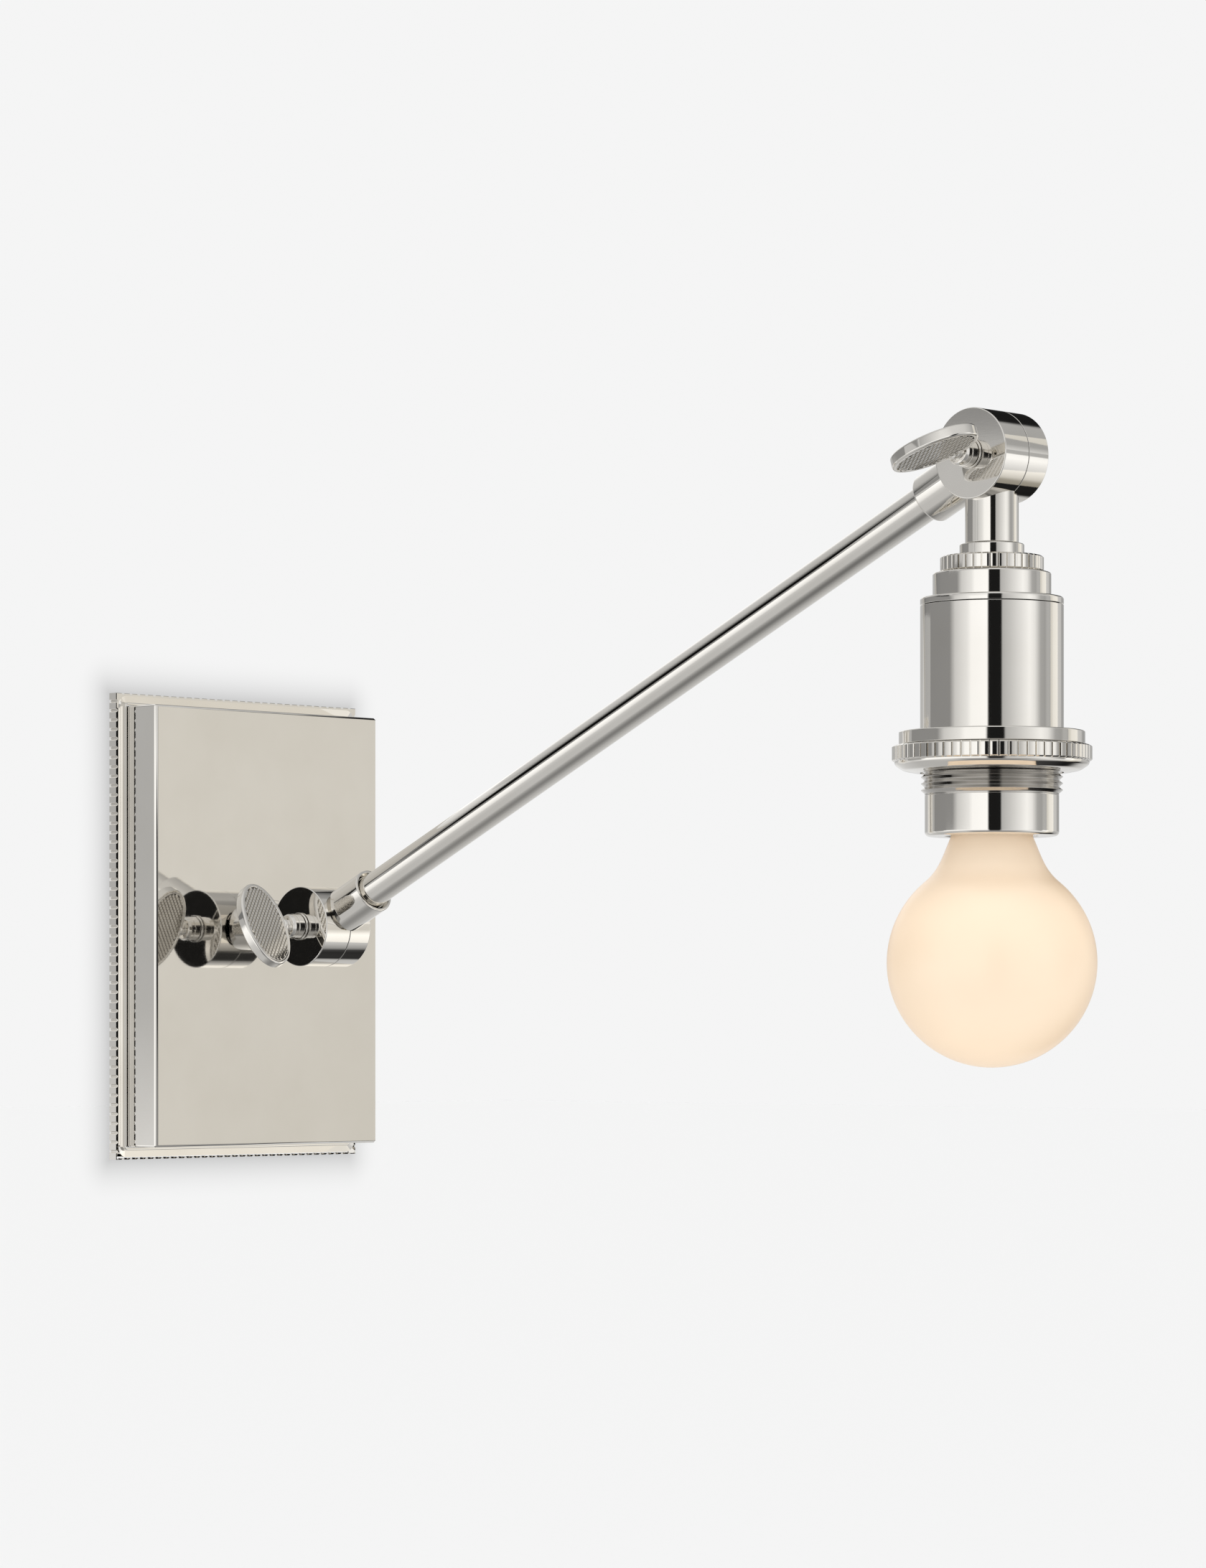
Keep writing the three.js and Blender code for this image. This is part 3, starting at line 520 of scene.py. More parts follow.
def ring_solid_with_floor(outside, inside):
    """A tray: outside loops from the wall to the front, inside loops back to the wall."""
    loops = outside + inside
    verts = [v for loop in loops for v in loop]
    n = len(loops[0])
    last_outside, first_inside = len(outside) - 1, len(outside)
    faces = []
    for k in range(len(loops)):
        if k == last_outside:
            faces.append([k * n + i for i in range(n)])
            faces.append([first_inside * n + i for i in reversed(range(n))])
            continue
        faces += strip(k * n, (k + 1) % len(loops) * n, n)
    return from_data(verts, faces)


def toothed_loop(width, height, across, up, depth, sink, level):
    """The rim's coin edge: flats parted by narrow grooves, sunk by up to depth."""
    loop = []
    lead, shoulder = 0.2, sink + depth * 0.25
    bottom = depth + sink * 0.3
    sides = (((-1, -1), (1, 0), width, across), ((1, -1), (0, 1), height, up),
             ((1, 1), (-1, 0), width, across), ((-1, 1), (0, -1), height, up))
    for start, along, length, ribs in sides:
        corner = Vector((start[0] * width / 2, start[1] * height / 2))
        run = Vector(along)
        inward = Vector((-run.y, run.x))
        pitch = length / (ribs - 1 + RIB_SHARE)
        flat = pitch * RIB_SHARE
        groove = pitch - flat
        spots = [(sink, sink)]
        for i in range(ribs):
            first = i * pitch
            if i:
                spots.append((first, shoulder))
                spots.append((first + lead, sink))
            if i < ribs - 1:
                spots.append((first + flat - lead, sink))
                spots.append((first + flat, shoulder))
                spots.append((first + flat + groove * 0.3, bottom))
                spots.append((first + flat + groove * 0.7, bottom))
        for distance, inset in spots:
            spot = corner + run * distance + inward * inset
            loop.append((spot.x, spot.y, level))
    return loop


def backplate_rim():
    """Coin-edged frame, its border dished down to the pan's opening, with a bead round that."""
    low, high = node_box("backplate_rim")
    width, height, top = high.x - low.x, high.z - low.z, -low.y
    pan_low, pan_high = node_box("backplate_pan")
    hole_w = pan_high.x - pan_low.x + 2 * GAP
    hole_h = pan_high.z - pan_low.z + 2 * GAP
    bead, chamfer, corner = 1.2, 0.25, 0.6
    flat = top - 1.0
    dish = 0.75
    ribs_across, ribs_up = 32, 50
    levels = [(chamfer, 0), (0, chamfer), (0, flat - chamfer), (chamfer, flat)]
    toothed = [toothed_loop(width, height, ribs_across, ribs_up, RIB_DEPTH, sink, z) for sink, z in levels]
    walls = loops_solid(toothed, cap=False)
    # Flat margins beside the teeth, then a border dished down to the pan's opening.
    verts, faces = [], []
    margin = (width - hole_w) / 2 - RIB_DEPTH - 0.35
    for level, loop in ((0, toothed[0]), (flat, toothed[-1])):
        ledge = round_rectangle(hole_w, hole_h, corner, margin, level)
        rings = [[Vector(v) for v in loop], [Vector(v) for v in reversed(ledge)]]
        base = len(verts)
        verts += [tuple(v) for ring in rings for v in ring]
        faces += [[base + t for t in tri] for tri in tessellate_polygon(rings)]
        hole = round_rectangle(hole_w, hole_h, corner, 0, max(level - dish, 0))
        base, count = len(verts), len(hole)
        verts += ledge + hole
        faces += strip(base, base + count, count)
    border = from_data(verts, faces)
    crown, rise = bead / 2, 0.3
    arc = [(0, flat - dish), (0, top - rise)]
    arc += [(crown - crown * math.cos(a), top - rise + rise * math.sin(a))
            for a in (math.radians(18 * i) for i in range(1, 10))]
    arc += [(bead, top - rise), (bead, flat - dish)]
    lining = [(0, 0), (0, flat - dish), (0.02, flat - dish), (0.02, 0)]
    bead_shell, inner = (
        ring_solid([round_rectangle(hole_w, hole_h, corner, o, z) for o, z in section])
        for section in (arc, lining))
    return moved(merged(walls, border, bead_shell, inner), TO_ROOM)


# ------------------------------------------------------------ knuckles
ALONG_X = Matrix.Rotation(math.pi / 2, 4, "Y")


def direction(vector):
    """Turns +Z to lie along a vector in the YZ plane, keeping X."""
    angle = math.atan2(-vector.y, vector.z)
    return Matrix.Rotation(angle, 4, "X")


def knuckle_half(side, stem, bores=()):
    """Half of a barrel about X with its stem along +Z, cut clear of the other half."""
    face = SPLIT + side * GAP / 2
    end = side * KNUCKLE_HALF
    barrel = turned([(0, face), (KNUCKLE_R, face, 0.18), (KNUCKLE_R, end, 0.45), (0, end)], KNUCKLE_SIDES)
    moved(barrel, ALONG_X)
    far = -side * (KNUCKLE_HALF + 5)
    clearance = rod(KNUCKLE_R + SADDLE, min(face, far), max(face, far), KNUCKLE_SIDES)
    without(stem, moved(clearance, ALONG_X))
    united(barrel, stem)
    return without(barrel, *bores)


def neck_collar(end_points):
    """A collar that starts in a narrow cove round the barrel's saddle."""
    core = rod(NECK_R, 0, 24, 96)
    sleeve = turned([(0, 12), (COLLAR_R, 12), *end_points], 96)
    saddle = rod(KNUCKLE_R + NECK_GAP, -25, 25, KNUCKLE_SIDES)
    without(sleeve, moved(saddle, ALONG_X))
    return united(sleeve, core)


def wall_stem():
    low, high = node_box("wall_stem_knuckle_half")
    nipple_end = high.y - LOWER_PIVOT.y
    pan_front = node_box("backplate_pan")[0].y - LOWER_PIVOT.y
    foot_top = pan_front - GAP * 2 - 0.9
    foot, foot_low, nipple, bore_depth = 12.2, foot_top - 2.2, 6.2, 12
    stem = neck_collar([
        (COLLAR_R, foot_top - 4.2, 0.9), (10.6, foot_low, 0.5), (foot, foot_low, 0.6),
        (foot, foot_top, 0.4), (nipple, foot_top), (nipple, nipple_end, 0.4), (0, nipple_end)])
    bore = rod(4.2, nipple_end - bore_depth, nipple_end + 5, 48)
    half = knuckle_half(1, stem, [bore])
    return moved(half, Matrix.Translation(LOWER_PIVOT) @ direction(Y_AXIS))


def flat_ring(node, inner, turn):
    """A washer that fills a node's box, with broken edges, its axis turned from Z."""
    low, high = node_box(node)
    size = high - low
    edge, half, outer = 0.25, min(size) / 2, max(size) / 2
    corners = ((inner, -half), (outer, -half), (outer, half), (inner, half))
    ring = turned([(r, z, edge) for r, z in corners], 96)
    return moved(ring, Matrix.Translation((low + high) / 2) @ turn)


def arm_root():
    end, bore, floor = 36, TUBE_R + GAP + 0.1, 31
    stem = neck_collar([
        (COLLAR_R, end, 0.5), (NECK_R, end, 0.25), (bore, end - 1.4, 0.3), (bore, floor), (0, floor)])
    half = knuckle_half(-1, stem)
    return moved(half, Matrix.Translation(LOWER_PIVOT) @ direction(ARM_VECTOR))


def arm_ferrule():
    """Upper half of the arm, with a scoop for the head's stem at the end of its turn."""
    end, bore, floor = 33.5, TUBE_R + GAP, 29
    stem = turned([
        (0, 0), (FERRULE_R, 0), (FERRULE_R, end, 2.4), (bore, end, 0.2), (bore, floor), (0, floor)], 96)
    stop = Vector((0, -ARM_VECTOR.y, -ARM_VECTOR.z)).angle(-Z_AXIS)
    scoop = rod(HEAD_STEM_R + GAP, 0, 33, 128)
    without(stem, moved(scoop, Matrix.Rotation(-stop, 4, "X")))
    half = knuckle_half(1, stem)
    return moved(half, Matrix.Translation(UPPER_PIVOT) @ direction(-ARM_VECTOR))


def arm_tube():
    bore, start = 5.9, 24.0
    end = ARM_LENGTH - start
    tube = turned([(bore, start), (TUBE_R, start), (TUBE_R, end), (bore, end)])
    return moved(tube, Matrix.Translation(LOWER_PIVOT) @ direction(ARM_VECTOR))


def head_stem():
    length = UPPER_PIVOT.z - high_z("stem_collar") - GAP
    stem = turned([(0, 0), (HEAD_STEM_R, 0), (HEAD_STEM_R, length, 0.3), (0, length)], 128)
    half = knuckle_half(-1, stem)
    return moved(half, Matrix.Translation(UPPER_PIVOT) @ direction(-Z_AXIS))


# ------------------------------------------------------------ clamping keys
KNURL_INSET = 1.75  # from the paddle's outline to the sunk, knurled field
SHANK_HOLE = 3.3  # radius of the hole in the keys' washers


def oval_loop(inset, level, count=128):
    """A loop a given distance inside the paddle's oval, in the XY plane."""
    loop = []
    for i in range(count):
        t = 2 * math.pi * i / count
        spot = Vector((PADDLE_SHORT * math.cos(t), PADDLE_LONG * math.sin(t)))
        normal = Vector((PADDLE_LONG * math.cos(t), PADDLE_SHORT * math.sin(t))).normalized()
        spot -= normal * inset
        loop.append((spot.x, spot.y, level))
    return loop


def paddle():
    """An oval plate with a round edge, sunk inside a narrow flat border on both faces."""
    half, edge = PADDLE_HALF, 0.9
    section = []
    for i in range(7):
        a = math.radians(15 * i)
        section.append((edge - edge * math.cos(a), half - edge + edge * math.sin(a)))
    section += [(1.45, half), (1.65, half - 0.06), (KNURL_INSET, half - 0.2), (1.85, half - 0.55)]
    upper = [oval_loop(d, z) for d, z in section]
    lower = [oval_loop(d, -z) for d, z in reversed(section)]
    return loops_solid(lower + upper)


def knurling():
    """Small flat-topped pyramids in a diamond lattice over both sunk faces of the paddle."""
    pitch, row_pitch = 1.9, 0.62
    floor, tip, crown = PADDLE_HALF - 0.6, PADDLE_HALF - 0.02, 0.66
    wide, tall = 0.45, 0.56
    verts, faces = [], []
    reach = int(PADDLE_LONG / pitch) + 2
    for side in (1, -1):
        for row in range(-2 * reach, 2 * reach + 1):
            for column in range(-reach, reach + 1):
                cx = (column + 0.5 * (row % 2)) * pitch
                cz = row * pitch * row_pitch
                share_x, share_z = cx / (PADDLE_SHORT - KNURL_INSET), cz / (PADDLE_LONG - KNURL_INSET)
                if share_x ** 2 + share_z ** 2 > 1:
                    continue
                base = len(verts)
                for grow, level in ((1.0, floor), (crown, tip)):
                    for dx, dz in ((wide, 0), (0, tall), (-wide, 0), (0, -tall)):
                        verts.append((cx + dx * pitch * grow, cz + dz * pitch * grow, side * level))
                faces += strip(base, base + 4, 4)
                faces.append([base + 4 + i for i in range(4)])
    return from_data(verts, faces)


def knurl_floor():
    """The dark floor between the knurls on both faces, painted shade for the valleys of the knurling."""
    level = PADDLE_HALF - 0.5
    return loops_solid([oval_loop(1.8, z) for z in (-level, level)])


def clamp_key(pivot, node, turn):
    """Spindle along -X with its paddle, then the knurls and the floor between them."""
    low, high = node_box(node)
    tip = low.x
    shoulder = node_box(node.replace("key", "key_washer"))[0].x - GAP
    centre = tip + PADDLE_SHORT
    neck = centre + PADDLE_SHORT - 0.6
    points = [
        (0, neck - 0.6), (2.9, neck - 0.6, 0.8), (3.3, neck + 0.9, 1.0), (2.3, neck + 1.9, 0.4),
        (4.6, neck + 2.2, 0.5), (5.2, neck + 3.4, 0.6), (5.2, shoulder - 3.5, 0.12),
        (5.0, shoulder - 3.4), (5.0, shoulder - 3.2), (5.35, shoulder - 3.1, 0.12),
        (5.35, shoulder, 0.3), (3, shoulder), (3, high.x, 0.4), (0, high.x)]
    spindle = moved(turned(points, 96), ALONG_X)
    grip = moved(paddle(), Matrix.Translation((centre, 0, 0)) @ TO_ROOM)
    whole = united(spindle, grip)
    place = Matrix.Translation(pivot) @ Matrix.Rotation(turn, 4, "X")
    seat = place @ Matrix.Translation((centre, 0, 0)) @ TO_ROOM
    return moved(whole, place), moved(knurling(), seat), moved(knurl_floor(), seat)


# ------------------------------------------------------------ head
HEAD_WALL = 1.6


def head_turned(points, segments=ROUND):
    return moved(turned(points, segments), HEAD_AXIS)


def coin_loop(radius, ribs, depth, sink, level):
    """One level of a coin edge: round-shouldered flats parted by narrow grooves."""
    loop = []
    pitch = 2 * math.pi / ribs
    inner = radius - depth
    outer = radius - sink
    half_flat = ((0.0, -0.3), (0.06, -0.1), (0.2, -0.03), (0.43, 0))
    rest = ((0.66, -0.03), (0.8, -0.1), (0.86, -0.3), (0.9, -1), (0.96, -1))
    for i in range(ribs):
        for share, drop in half_flat + rest:
            r = max(outer + drop * depth, inner) if drop > -1 else inner
            angle = (i + share) * pitch
            loop.append((r * math.cos(angle), r * math.sin(angle), level))
    return loop


def coin_band(radius, ribs, depth, low, high, bore):
    """A ring with a coin edge outside, its ends eased, and a plain bore."""
    end, ease = 0.45, 0.12
    levels = [(depth, low), (ease, low + end), (0, low + end + 0.15),
              (0, high - end - 0.15), (ease, high - end), (depth, high)]
    outer = [coin_loop(radius, ribs, depth, sink, z) for sink, z in levels]
    angles = [math.atan2(y, x) for x, y, _ in outer[0]]
    inner = [[(bore * math.cos(a), bore * math.sin(a), z) for a in angles] for z in (high, low)]
    return moved(ring_solid(outer + inner), HEAD_AXIS)


def cap_lock_ring():
    low, high = low_z("cap_lock_ring"), high_z("cap_lock_ring")
    ribs, depth = 38, 0.85
    return coin_band(radius_of("cap_lock_ring"), ribs, depth, low, high, HEAD_BORE)


def shade_ring():
    """Coin-edged band over a rounded underside that turns in to the thread."""
    low, high = low_z("shade_ring"), high_z("shade_ring")
    radius, ribs, depth = radius_of("shade_ring"), 66, 1.0
    rib_low = low + 4.2
    bore, band_bore = 27.1, 33.9
    seat_in, seat_out, seat_floor = 27.9, 33.8, high - 1.2  # the recess for the gasket
    base = radius - depth
    ring_band = coin_band(radius, ribs, depth, rib_low, high, band_bore)
    body = head_turned([
        (bore, low), (bore + 1.6, low, 0.6), (base - 3.2, low + 0.9, 4.0), (base - 0.1, rib_low - 1.2, 1.6),
        (base, rib_low + 0.4), (base, high - 0.6), (seat_out, high - 0.6), (seat_out, seat_floor),
        (seat_in, seat_floor), (seat_in, high - 0.3), (bore, high - 0.3)])
    return merged(ring_band, body)


def socket_cap():
    top, low = high_z("socket_cap"), low_z("socket_cap")
    cap, rim, rim_height = 22.35, radius_of("socket_cap"), 3
    rim_top, wall = low + rim_height - GAP, HEAD_WALL
    return head_turned([
        (HEAD_BORE, top - wall), (HEAD_BORE, top), (cap, top, 0.7), (cap, rim_top, 0.15), (rim, rim_top, 0.8),
        (rim, low, 0.15), (cap - wall, low), (cap - wall, top - wall)])


def socket_housing():
    low, high = low_z("socket_housing"), high_z("socket_housing")
    outer = radius_of("socket_housing")
    bore = outer - HEAD_WALL
    return head_turned([(bore, low), (outer, low, 0.12), (outer, high, 0.15), (bore, high)])


def shade_carrier():
    """Flange and plain sleeve in one turned piece, and the thread between them as another."""
    top, mouth = high_z("shade_carrier"), low_z("shade_carrier")
    flange_height, threads, pitch = 5.3, 7, 2.5
    flange_low = top - flange_height + GAP
    bore, core, root, crest, sleeve = 23.2, 24.2, 25.3, 26.8, 25.3
    flange = radius_of("shade_carrier")
    thread = [(core, flange_low - 0.3), (root, flange_low - 0.3)]
    z = flange_low - 1
    for _ in range(threads):
        thread += [(root, z, 0.2), (crest, z - pitch * 0.5, 0.12)]
        z -= pitch
    thread += [(root, z, 0.3), (root, z - 0.6, 0.1), (core, z - 0.6)]
    sleeve_top, lip_top = z - 0.75, mouth + 1.6
    body = [(bore, top), (flange, top, 0.5), (flange, flange_low, 0.3), (core + GAP, flange_low),
            (core + GAP, sleeve_top), (sleeve, sleeve_top, 0.1), (sleeve, mouth, 1.6), (18.0, mouth, 0.5),
            (17.6, mouth + 1.0, 0.4), (17.9, lip_top), (bore, lip_top)]
    return head_turned(body), head_turned(thread)


def stem_collar():
    low, high = low_z("stem_collar"), high_z("stem_collar")
    radius = radius_of("stem_collar")
    return head_turned([(HEAD_BORE, low), (radius, low, 0.2), (radius, high, 0.45), (HEAD_BORE, high)])


def bulb_globe():
    """Opal globe with a swept neck, open where it goes into the cap."""
    low, high = low_z("bulb_glass"), high_z("bulb_glass")
    radius, glass, tangent = radius_of("bulb_glass"), 0.8, math.radians(50)
    centre = low + radius
    neck_top = high - 6.9 + 1 - GAP
    meet = Vector((radius * math.cos(tangent), centre + radius * math.sin(tangent)))
    neck = Vector((15.0, neck_top))
    reach = (neck.y - meet.y) * 0.5
    handles = [neck, neck + Vector((reach * 0.42, -reach)),
               meet + Vector((-reach * math.sin(tangent) * 0.8, reach * math.cos(tangent) * 0.8)), meet]
    outer = [(11.0, high), (11.0, neck_top + 0.3), (14.6, neck_top + 0.1)]
    for i in range(25):
        t = i / 24
        weights = ((1 - t) ** 3, 3 * t * (1 - t) ** 2, 3 * t * t * (1 - t), t ** 3)
        spot = sum((h * w for h, w in zip(handles, weights)), Vector((0, 0)))
        outer.append((spot.x, spot.y))
    for i in range(1, 57):
        a = tangent - (tangent + math.pi / 2) * i / 56
        outer.append((max(radius * math.cos(a), 0), centre + radius * math.sin(a)))
    outer[-1] = (0, low)
    inner = [(0, low + glass)]
    inner += [(r - glass, z + (glass if z < centre else 0))
              for r, z in reversed(outer[3:-1]) if r > 2 * glass]
    inner += [(10.4, neck_top), (10.4, high)]
    return head_turned(outer + inner)


def bulb_cap():
    low, high = low_z("bulb_cap"), high_z("bulb_cap")
    crest, root, pitch = radius_of("bulb_cap"), 12.4, 3.6
    mouth = 9.9
    points = [(mouth, high), (root, high - 1, 0.4)]
    z = high - 1.5
    for _ in range(5):
        points += [(root, z, 0.8), (crest, z - pitch * 0.45, 0.8)]
        z -= pitch
    inside = root - 0.5
    points += [(root, low + 1.4, 0.5), (root, low), (inside, low), (inside, high - 1.6), (mouth, high - 0.5)]
    return head_turned(points, 96)


# ------------------------------------------------------------ making the pieces
def make_pieces():
    lower_key, lower_knurl, lower_floor = clamp_key(LOWER_PIVOT, "lower_key", LOWER_KEY_TURN)
    upper_key, upper_knurl, upper_floor = clamp_key(UPPER_PIVOT, "upper_key", UPPER_KEY_TURN)
    publish(backplate_pan(), "pan", ["backplate_pan"], NICKEL, 20)
    publish(backplate_rim(), "rim", ["backplate_rim"], NICKEL, 30)
    publish(wall_stem(), "wall_stem", ["wall_stem_knuckle_half"], NICKEL)
    publish(flat_ring("stem_washer", STEM_HOLE, TO_ROOM), "stem_foot_washer", ["stem_washer"], NICKEL)
    publish(arm_root(), "arm_root", ["arm_collar_knuckle_half"], NICKEL)
    publish(arm_tube(), "arm_rod", ["arm_tube"], NICKEL)
    publish(arm_ferrule(), "arm_ferrule", ["arm_ferrule_knuckle_half"], NICKEL)
    publish(head_stem(), "head_stem", ["head_stem_knuckle_half"], NICKEL)
    publish(lower_key, "lower_clamp_key", ["lower_key"], NICKEL)
    publish(upper_key, "upper_clamp_key", ["upper_key"], NICKEL)
    publish(lower_knurl, "lower_key_knurling", ["lower_key"], KNURLED, 12)
    publish(upper_knurl, "upper_key_knurling", ["upper_key"], KNURLED, 12)
    # The knurl floors carry painted shade between the knurls.
    publish(lower_floor, "lower_key_floor", ["lower_key"], PAINTED_SHADE_NICKEL)
    publish(upper_floor, "upper_key_floor", ["upper_key"], PAINTED_SHADE_NICKEL)
    publish(flat_ring("lower_key_washer", SHANK_HOLE, ALONG_X), "lower_washer", ["lower_key_washer"], NICKEL)
    publish(flat_ring("upper_key_washer", SHANK_HOLE, ALONG_X), "upper_washer", ["upper_key_washer"], NICKEL)
    publish(stem_collar(), "head_collar", ["stem_collar"], NICKEL)
    publish(cap_lock_ring(), "head_lock_ring", ["cap_lock_ring"], NICKEL, 25)
    publish(socket_cap(), "head_cap", ["socket_cap"], NICKEL)
    publish(socket_housing(), "head_housing", ["socket_housing"], NICKEL)
    carrier, thread = shade_carrier()
    publish(carrier, "head_carrier", ["shade_carrier"], NICKEL)
    # The thread takes the darker nickel, painted shade.
    publish(thread, "carrier_thread", ["shade_carrier"], SHADED_THREAD_NICKEL)
    publish(shade_ring(), "coin_shade_ring", ["shade_ring"], NICKEL, 25)
    publish(bulb_globe(), "globe", ["bulb_glass"], OPAL, 50)
    publish(bulb_cap(), "screw_cap", ["bulb_cap"], ALUMINIUM, 50)


# ------------------------------------------------------------ camera, light and floor
CAMERA_PLACE = Vector((-1.3894, -1.5657, -0.045))
CAMERA_AZIMUTH = math.radians(-46.02)
CAMERA_SHIFT = (0.0029, 0.1575)
FOCAL, SENSOR = 108.61, 36.0
TOWARD_CAMERA = Vector((math.sin(CAMERA_AZIMUTH), -math.cos(CAMERA_AZIMUTH), 0))
CAMERA_RIGHT = Vector((math.cos(CAMERA_AZIMUTH), math.sin(CAMERA_AZIMUTH), 0))


def make_camera():
    data = bpy.data.cameras.new("camera")
    data.lens = FOCAL
    data.sensor_width = SENSOR
    data.shift_x, data.shift_y = CAMERA_SHIFT
    data.clip_end = 100
    camera = new_object("camera", data)
    camera.location = CAMERA_PLACE
    camera.rotation_euler = (math.pi / 2, 0, CAMERA_AZIMUTH)
    bpy.context.scene.camera = camera


def area_light(name, place, target, width, height, radiance, colour, **seen):
    data = bpy.data.lights.new(name, "AREA")
    data.shape = "RECTANGLE"
    data.size, data.size_y = width, height
    data.energy = radiance * math.pi * width * height
    data.color = colour
    light = new_object(name, data)
    light.location = place
    light.rotation_euler = (Vector(target) - Vector(place)).to_track_quat("-Z", "Y").to_euler()
    light.visible_camera = False
    for key, value in seen.items():
        setattr(light, key, value)


# Radiance round the studio: (height of the band as a sine, stops of degrees and radiance). The
# degrees run to the right of straight behind the camera; bands blend into each other.
LEVEL = (
    (-180, 0.55), (-150, 0.5), (-145, 0.35), (-143.5, 0.06), (-141, 0.25), (-120, 0.29),
    (-76, 0.3), (-66, 0.7), (-45, 0.95), (-38, 1.15), (-12, 1.2), (-10.5, 0.012),
    (10, 0.012), (12, 0.52), (25, 0.66), (45, 0.92), (58, 1.1), (68, 0.95), (80, 0.45),
    (90, 0.4), (95, 0.5), (101, 0.5), (106, 0.4), (112, 0.62), (125, 0.68), (140, 0.6),
    (148, 0.35), (180, 0.55))
BANDS = (
    (-1.0, ((-180, 0.15), (180, 0.15))),
    (-0.96, ((-180, 0.3), (180, 0.3))),
    (-0.86, ((-180, 0.5), (-120, 0.55), (-60, 0.6), (-45, 0.3), (45, 0.3), (70, 0.55), (100, 0.35),
             (125, 0.05), (150, 0.06), (158, 0.45), (180, 0.5))),
    (-0.62, ((-180, 0.55), (-120, 0.5), (-60, 0.62), (-45, 0.35), (45, 0.35), (75, 0.7), (97, 0.62),
             (112, 0.36), (117, 0.012), (152, 0.012), (158, 0.6), (180, 0.6))),
    (-0.42, ((-180, 0.6), (-100, 0.68), (-60, 0.68), (-45, 0.5), (-12, 0.5), (-8, 0.05), (8, 0.05),
             (14, 0.45), (45, 0.5), (75, 0.9), (98, 0.82), (106, 0.66), (118, 0.3), (128, 0.02),
             (150, 0.02), (158, 0.62), (180, 0.65))),
    (-0.3, ((-180, 0.7), (-120, 0.6), (-98, 0.97), (-60, 0.97), (-12, 1.0), (-8, 0.05), (8, 0.05),
            (14, 0.7), (60, 1.0), (104, 0.9), (115, 0.4), (150, 0.4), (165, 0.72), (180, 0.75))),
    (-0.1, ((-180, 0.9), (-150, 0.6), (-98, 0.5), (-95, 1.2), (-65, 1.2), (-12, 1.15), (-9, 0.015),
            (9, 0.015), (12, 0.6), (60, 1.0), (80, 0.5), (84, 0.38), (90, 0.38), (94, 1.2),
            (102, 1.2), (115, 0.6), (150, 0.5), (180, 0.85))),
    (0.005, ((-180, 0.7), (-150, 0.5), (-120, 0.3), (-92, 0.32), (-89, 1.2), (-62, 1.2), (-12, 1.2),
             (-10, 0.012), (10, 0.012), (12, 0.55), (58, 1.1), (80, 0.45), (90, 0.38), (95, 1.15),
             (101, 1.15), (112, 0.6), (140, 0.55), (180, 0.7))),
    (0.03, LEVEL),
    (0.122, LEVEL),
    (0.13, ((-180, 0.95), (-150, 0.7), (-125, 0.3), (-106, 0.1), (-103, 0.004), (-79, 0.004),
             (-75, 0.5), (-45, 0.9), (-12, 1.1), (-10, 0.015), (10, 0.015), (13, 0.55), (58, 1.05),
             (80, 0.55), (94, 0.75), (101, 0.75), (112, 0.6), (180, 0.7))),
    (0.27, ((-180, 1.15), (-165, 1.1), (-140, 0.6), (-112, 0.4), (-105, 0.06), (-101, 0.004),
            (-80, 0.004), (-76, 0.4), (-45, 0.9), (-12, 1.0), (-9, 0.02), (9, 0.02), (13, 0.6),
            (60, 0.9), (94, 0.44), (105, 0.42), (150, 0.3), (158, 0.02), (180, 0.05))),
    (0.36, ((-180, 1.15), (-163, 1.1), (-150, 0.8), (-120, 0.5), (-102, 0.25), (-70, 0.3),
            (-40, 0.9), (-12, 1.0), (-8, 0.1), (8, 0.1), (13, 0.6), (60, 0.85), (96, 0.42),
            (130, 0.4), (152, 0.3), (158, 0.012), (180, 0.02))),
    (0.46, ((-180, 1.0), (-160, 0.95), (-145, 0.68), (-110, 0.52), (-70, 0.5), (-40, 0.8),
            (40, 0.7), (98, 0.44), (132, 0.44), (142, 0.012), (180, 0.012))),
    (0.64, ((-180, 0.6), (-110, 0.56), (-40, 0.8), (40, 0.7), (98, 0.46), (130, 0.46), (137, 0.012),
            (165, 0.012), (175, 0.4), (180, 0.6))),
    (0.8, ((-180, 0.55), (-40, 0.75), (40, 0.7), (110, 0.5), (180, 0.55))),
)


PAPER = 0.912  # brightness of the background that the camera sees


def band(tree, angle, stops):
    """One band's colours by angle, where 0 and 1 are both straight ahead of the camera."""
    ramp = add(tree, "ShaderNodeValToRGB")
    ramp.color_ramp.interpolation = "LINEAR"
    elements = ramp.color_ramp.elements
    elements.remove(elements[1])
    for i, (degrees, value) in enumerate(stops):
        place = degrees / 360 + 0.5
        element = elements[0] if i == 0 else elements.new(place)
        element.position = place
        element.color = (value, value * 0.998, value * 0.992, 1)
    tree.links.new(angle, ramp.inputs["Fac"])
    return ramp.outputs["Color"]


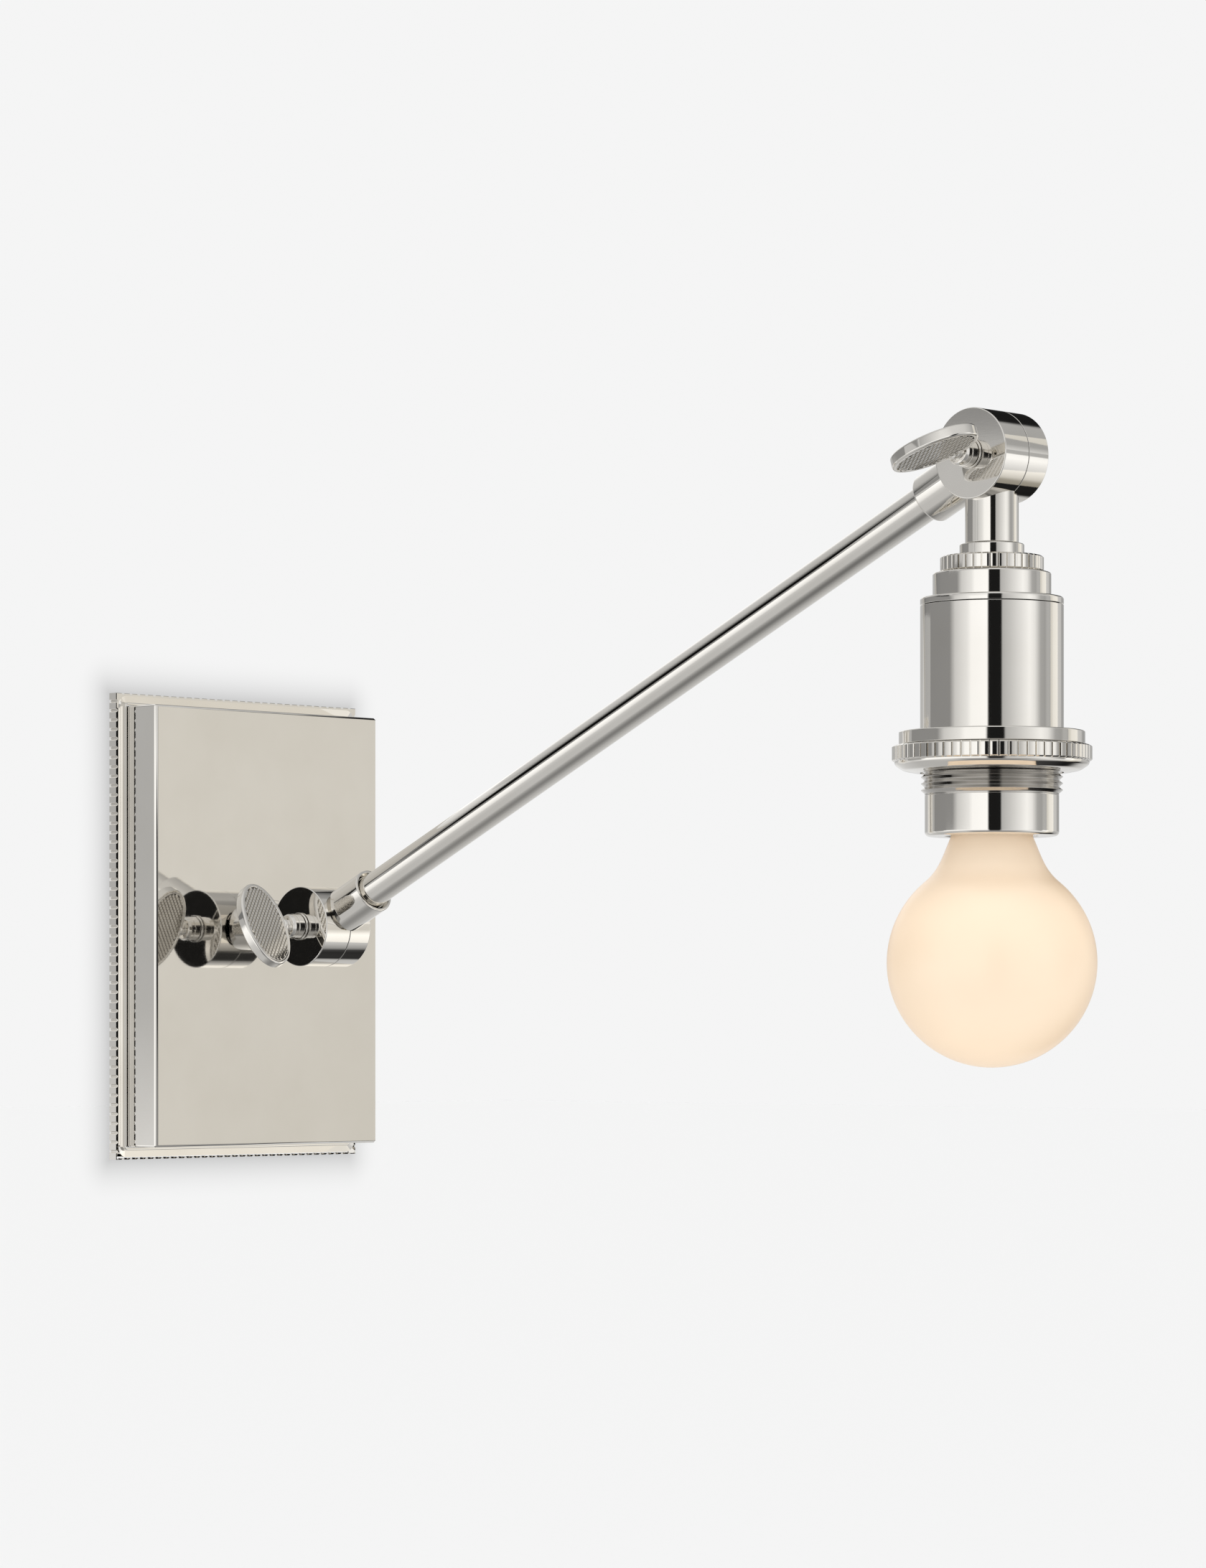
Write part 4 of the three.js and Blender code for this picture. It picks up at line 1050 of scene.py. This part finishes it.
def make_world():
    """A studio of soft panels with a dark gap behind the camera; the camera sees plain paper."""
    world = bpy.data.worlds.new("studio")
    bpy.context.scene.world = world
    world.use_nodes = True
    tree = world.node_tree
    tree.nodes.clear()
    place = add(tree, "ShaderNodeTexCoord").outputs["Generated"]
    sideways, back, height = (
        vector_maths(tree, "DOT_PRODUCT", place, axis) for axis in (CAMERA_RIGHT, TOWARD_CAMERA, Z_AXIS))
    angle = add(tree, "ShaderNodeMath", operation="ARCTAN2")
    tree.links.new(sideways, angle.inputs[0])
    tree.links.new(back, angle.inputs[1])
    turn = ranged(tree, angle.outputs[0], -math.pi, math.pi, 0, 1)

    def blend(factor, first, second):
        node = add(tree, "ShaderNodeMix", data_type="RGBA")
        tree.links.new(factor, node.inputs["Factor"])
        tree.links.new(first, node.inputs["A"])
        tree.links.new(second, node.inputs["B"])
        return node.outputs["Result"]

    colour = band(tree, turn, BANDS[0][1])
    for (below, _), (level, stops) in zip(BANDS, BANDS[1:]):
        colour = blend(ranged(tree, height, below, level, 0, 1), colour, band(tree, turn, stops))
    studio = add(tree, "ShaderNodeBackground")
    tree.links.new(colour, studio.inputs["Color"])
    paper = add(tree, "ShaderNodeBackground")
    paper.inputs["Color"].default_value = (PAPER, PAPER, PAPER, 1)
    rays = add(tree, "ShaderNodeLightPath")
    mix = add(tree, "ShaderNodeMixShader")
    tree.links.new(rays.outputs["Is Camera Ray"], mix.inputs["Fac"])
    tree.links.new(studio.outputs[0], mix.inputs[1])
    tree.links.new(paper.outputs[0], mix.inputs[2])
    output = add(tree, "ShaderNodeOutputWorld")
    tree.links.new(mix.outputs[0], output.inputs["Surface"])


def make_floor():
    size, depth = 40.0, -0.9
    corners = ((-1, -1), (1, -1), (1, 1), (-1, 1))
    floor = from_data([(x * size, y * size, depth) for x, y in corners], [(0, 1, 2, 3)], "floor")
    made, tree, shader = material("floor_paper")
    grain = noise_value(tree, object_coordinates(tree), 40.0)
    colour = two_colours(tree, grain, (0.862, 0.864, 0.866), (0.872, 0.874, 0.876))
    tree.links.new(colour, shader.inputs["Base Color"])
    shader.inputs["Roughness"].default_value = 0.9
    shader.inputs["Specular IOR Level"].default_value = 0.0
    floor.data.materials.append(made)
    floor.visible_glossy = False


def make_halo():
    """Soft contact shadow on the paper round the backplate, fading within two centimetres."""
    low, high = node_box("backplate_rim")
    half_w, half_h = (high.x - low.x) / 2, (high.z - low.z) / 2
    overlap, margin, reach, falloff, darkness = -0.5, 30, 0.02, 2.2, 0.34
    inner, outer = (
        round_rectangle(2 * half_w, 2 * half_h, 0.5, offset, 0, 1) for offset in (overlap, margin))
    count = len(inner)
    halo = from_data(inner + outer, strip(0, count, count), "contact_shadow")
    moved(halo, TO_ROOM)
    halo.data.transform(Matrix.Scale(MM, 4))
    made, tree, shader = material("contact_shadow")
    folded = vector_maths(tree, "ABSOLUTE", object_coordinates(tree))
    beyond = vector_maths(tree, "SUBTRACT", folded, (half_w * MM, 1.0, half_h * MM))
    distance = vector_maths(tree, "LENGTH", vector_maths(tree, "MAXIMUM", beyond))
    near = ranged(tree, distance, 0, reach, 1, 0)
    strength = maths(tree, "MULTIPLY", maths(tree, "POWER", near, falloff), darkness)
    tree.links.new(strength, shader.inputs["Alpha"])
    shader.inputs["Base Color"].default_value = (0, 0, 0, 1)
    shader.inputs["Specular IOR Level"].default_value = 0.0
    shader.inputs["Roughness"].default_value = 1.0
    halo.data.materials.append(made)
    halo.visible_glossy = halo.visible_diffuse = halo.visible_shadow = False


def make_lights():
    warm = (1.0, 0.93, 0.78)
    white = (1.0, 1.0, 1.0)
    plate_view = Vector((0.72, -0.69, 0))
    start = Vector((0, -0.025, 0.0))
    area_light("plate_panel", start + plate_view, start, 0.34, 1.2, 0.34, warm,
               visible_diffuse=False)
    area_light("wall_bounce", (0, 0.02, 0), (0, -1, 0), 0.24, 0.3, 0.2, white, visible_diffuse=False)
    knuckle = UPPER_PIVOT * MM
    side_view = Vector((-0.77, 0.62, 0.12))
    area_light("knuckle_panel", knuckle + side_view * 0.3, knuckle, 0.13, 0.1, 0.3, white,
               visible_diffuse=False)
    area_light("top_soft", (0, -0.4, 2.2), (0, -0.2, 0), 3.0, 3.0, 0.28, white, visible_glossy=False)
    sun = bpy.data.lights.new("sky", "SUN")
    sun.energy = 1.42
    sun.angle = math.radians(60)
    sky = new_object("sky", sun)
    sky.visible_glossy = False


make_camera()
make_pieces()
make_world()
make_floor()
make_halo()
make_lights()
bpy.context.scene.view_settings.view_transform = "Standard"
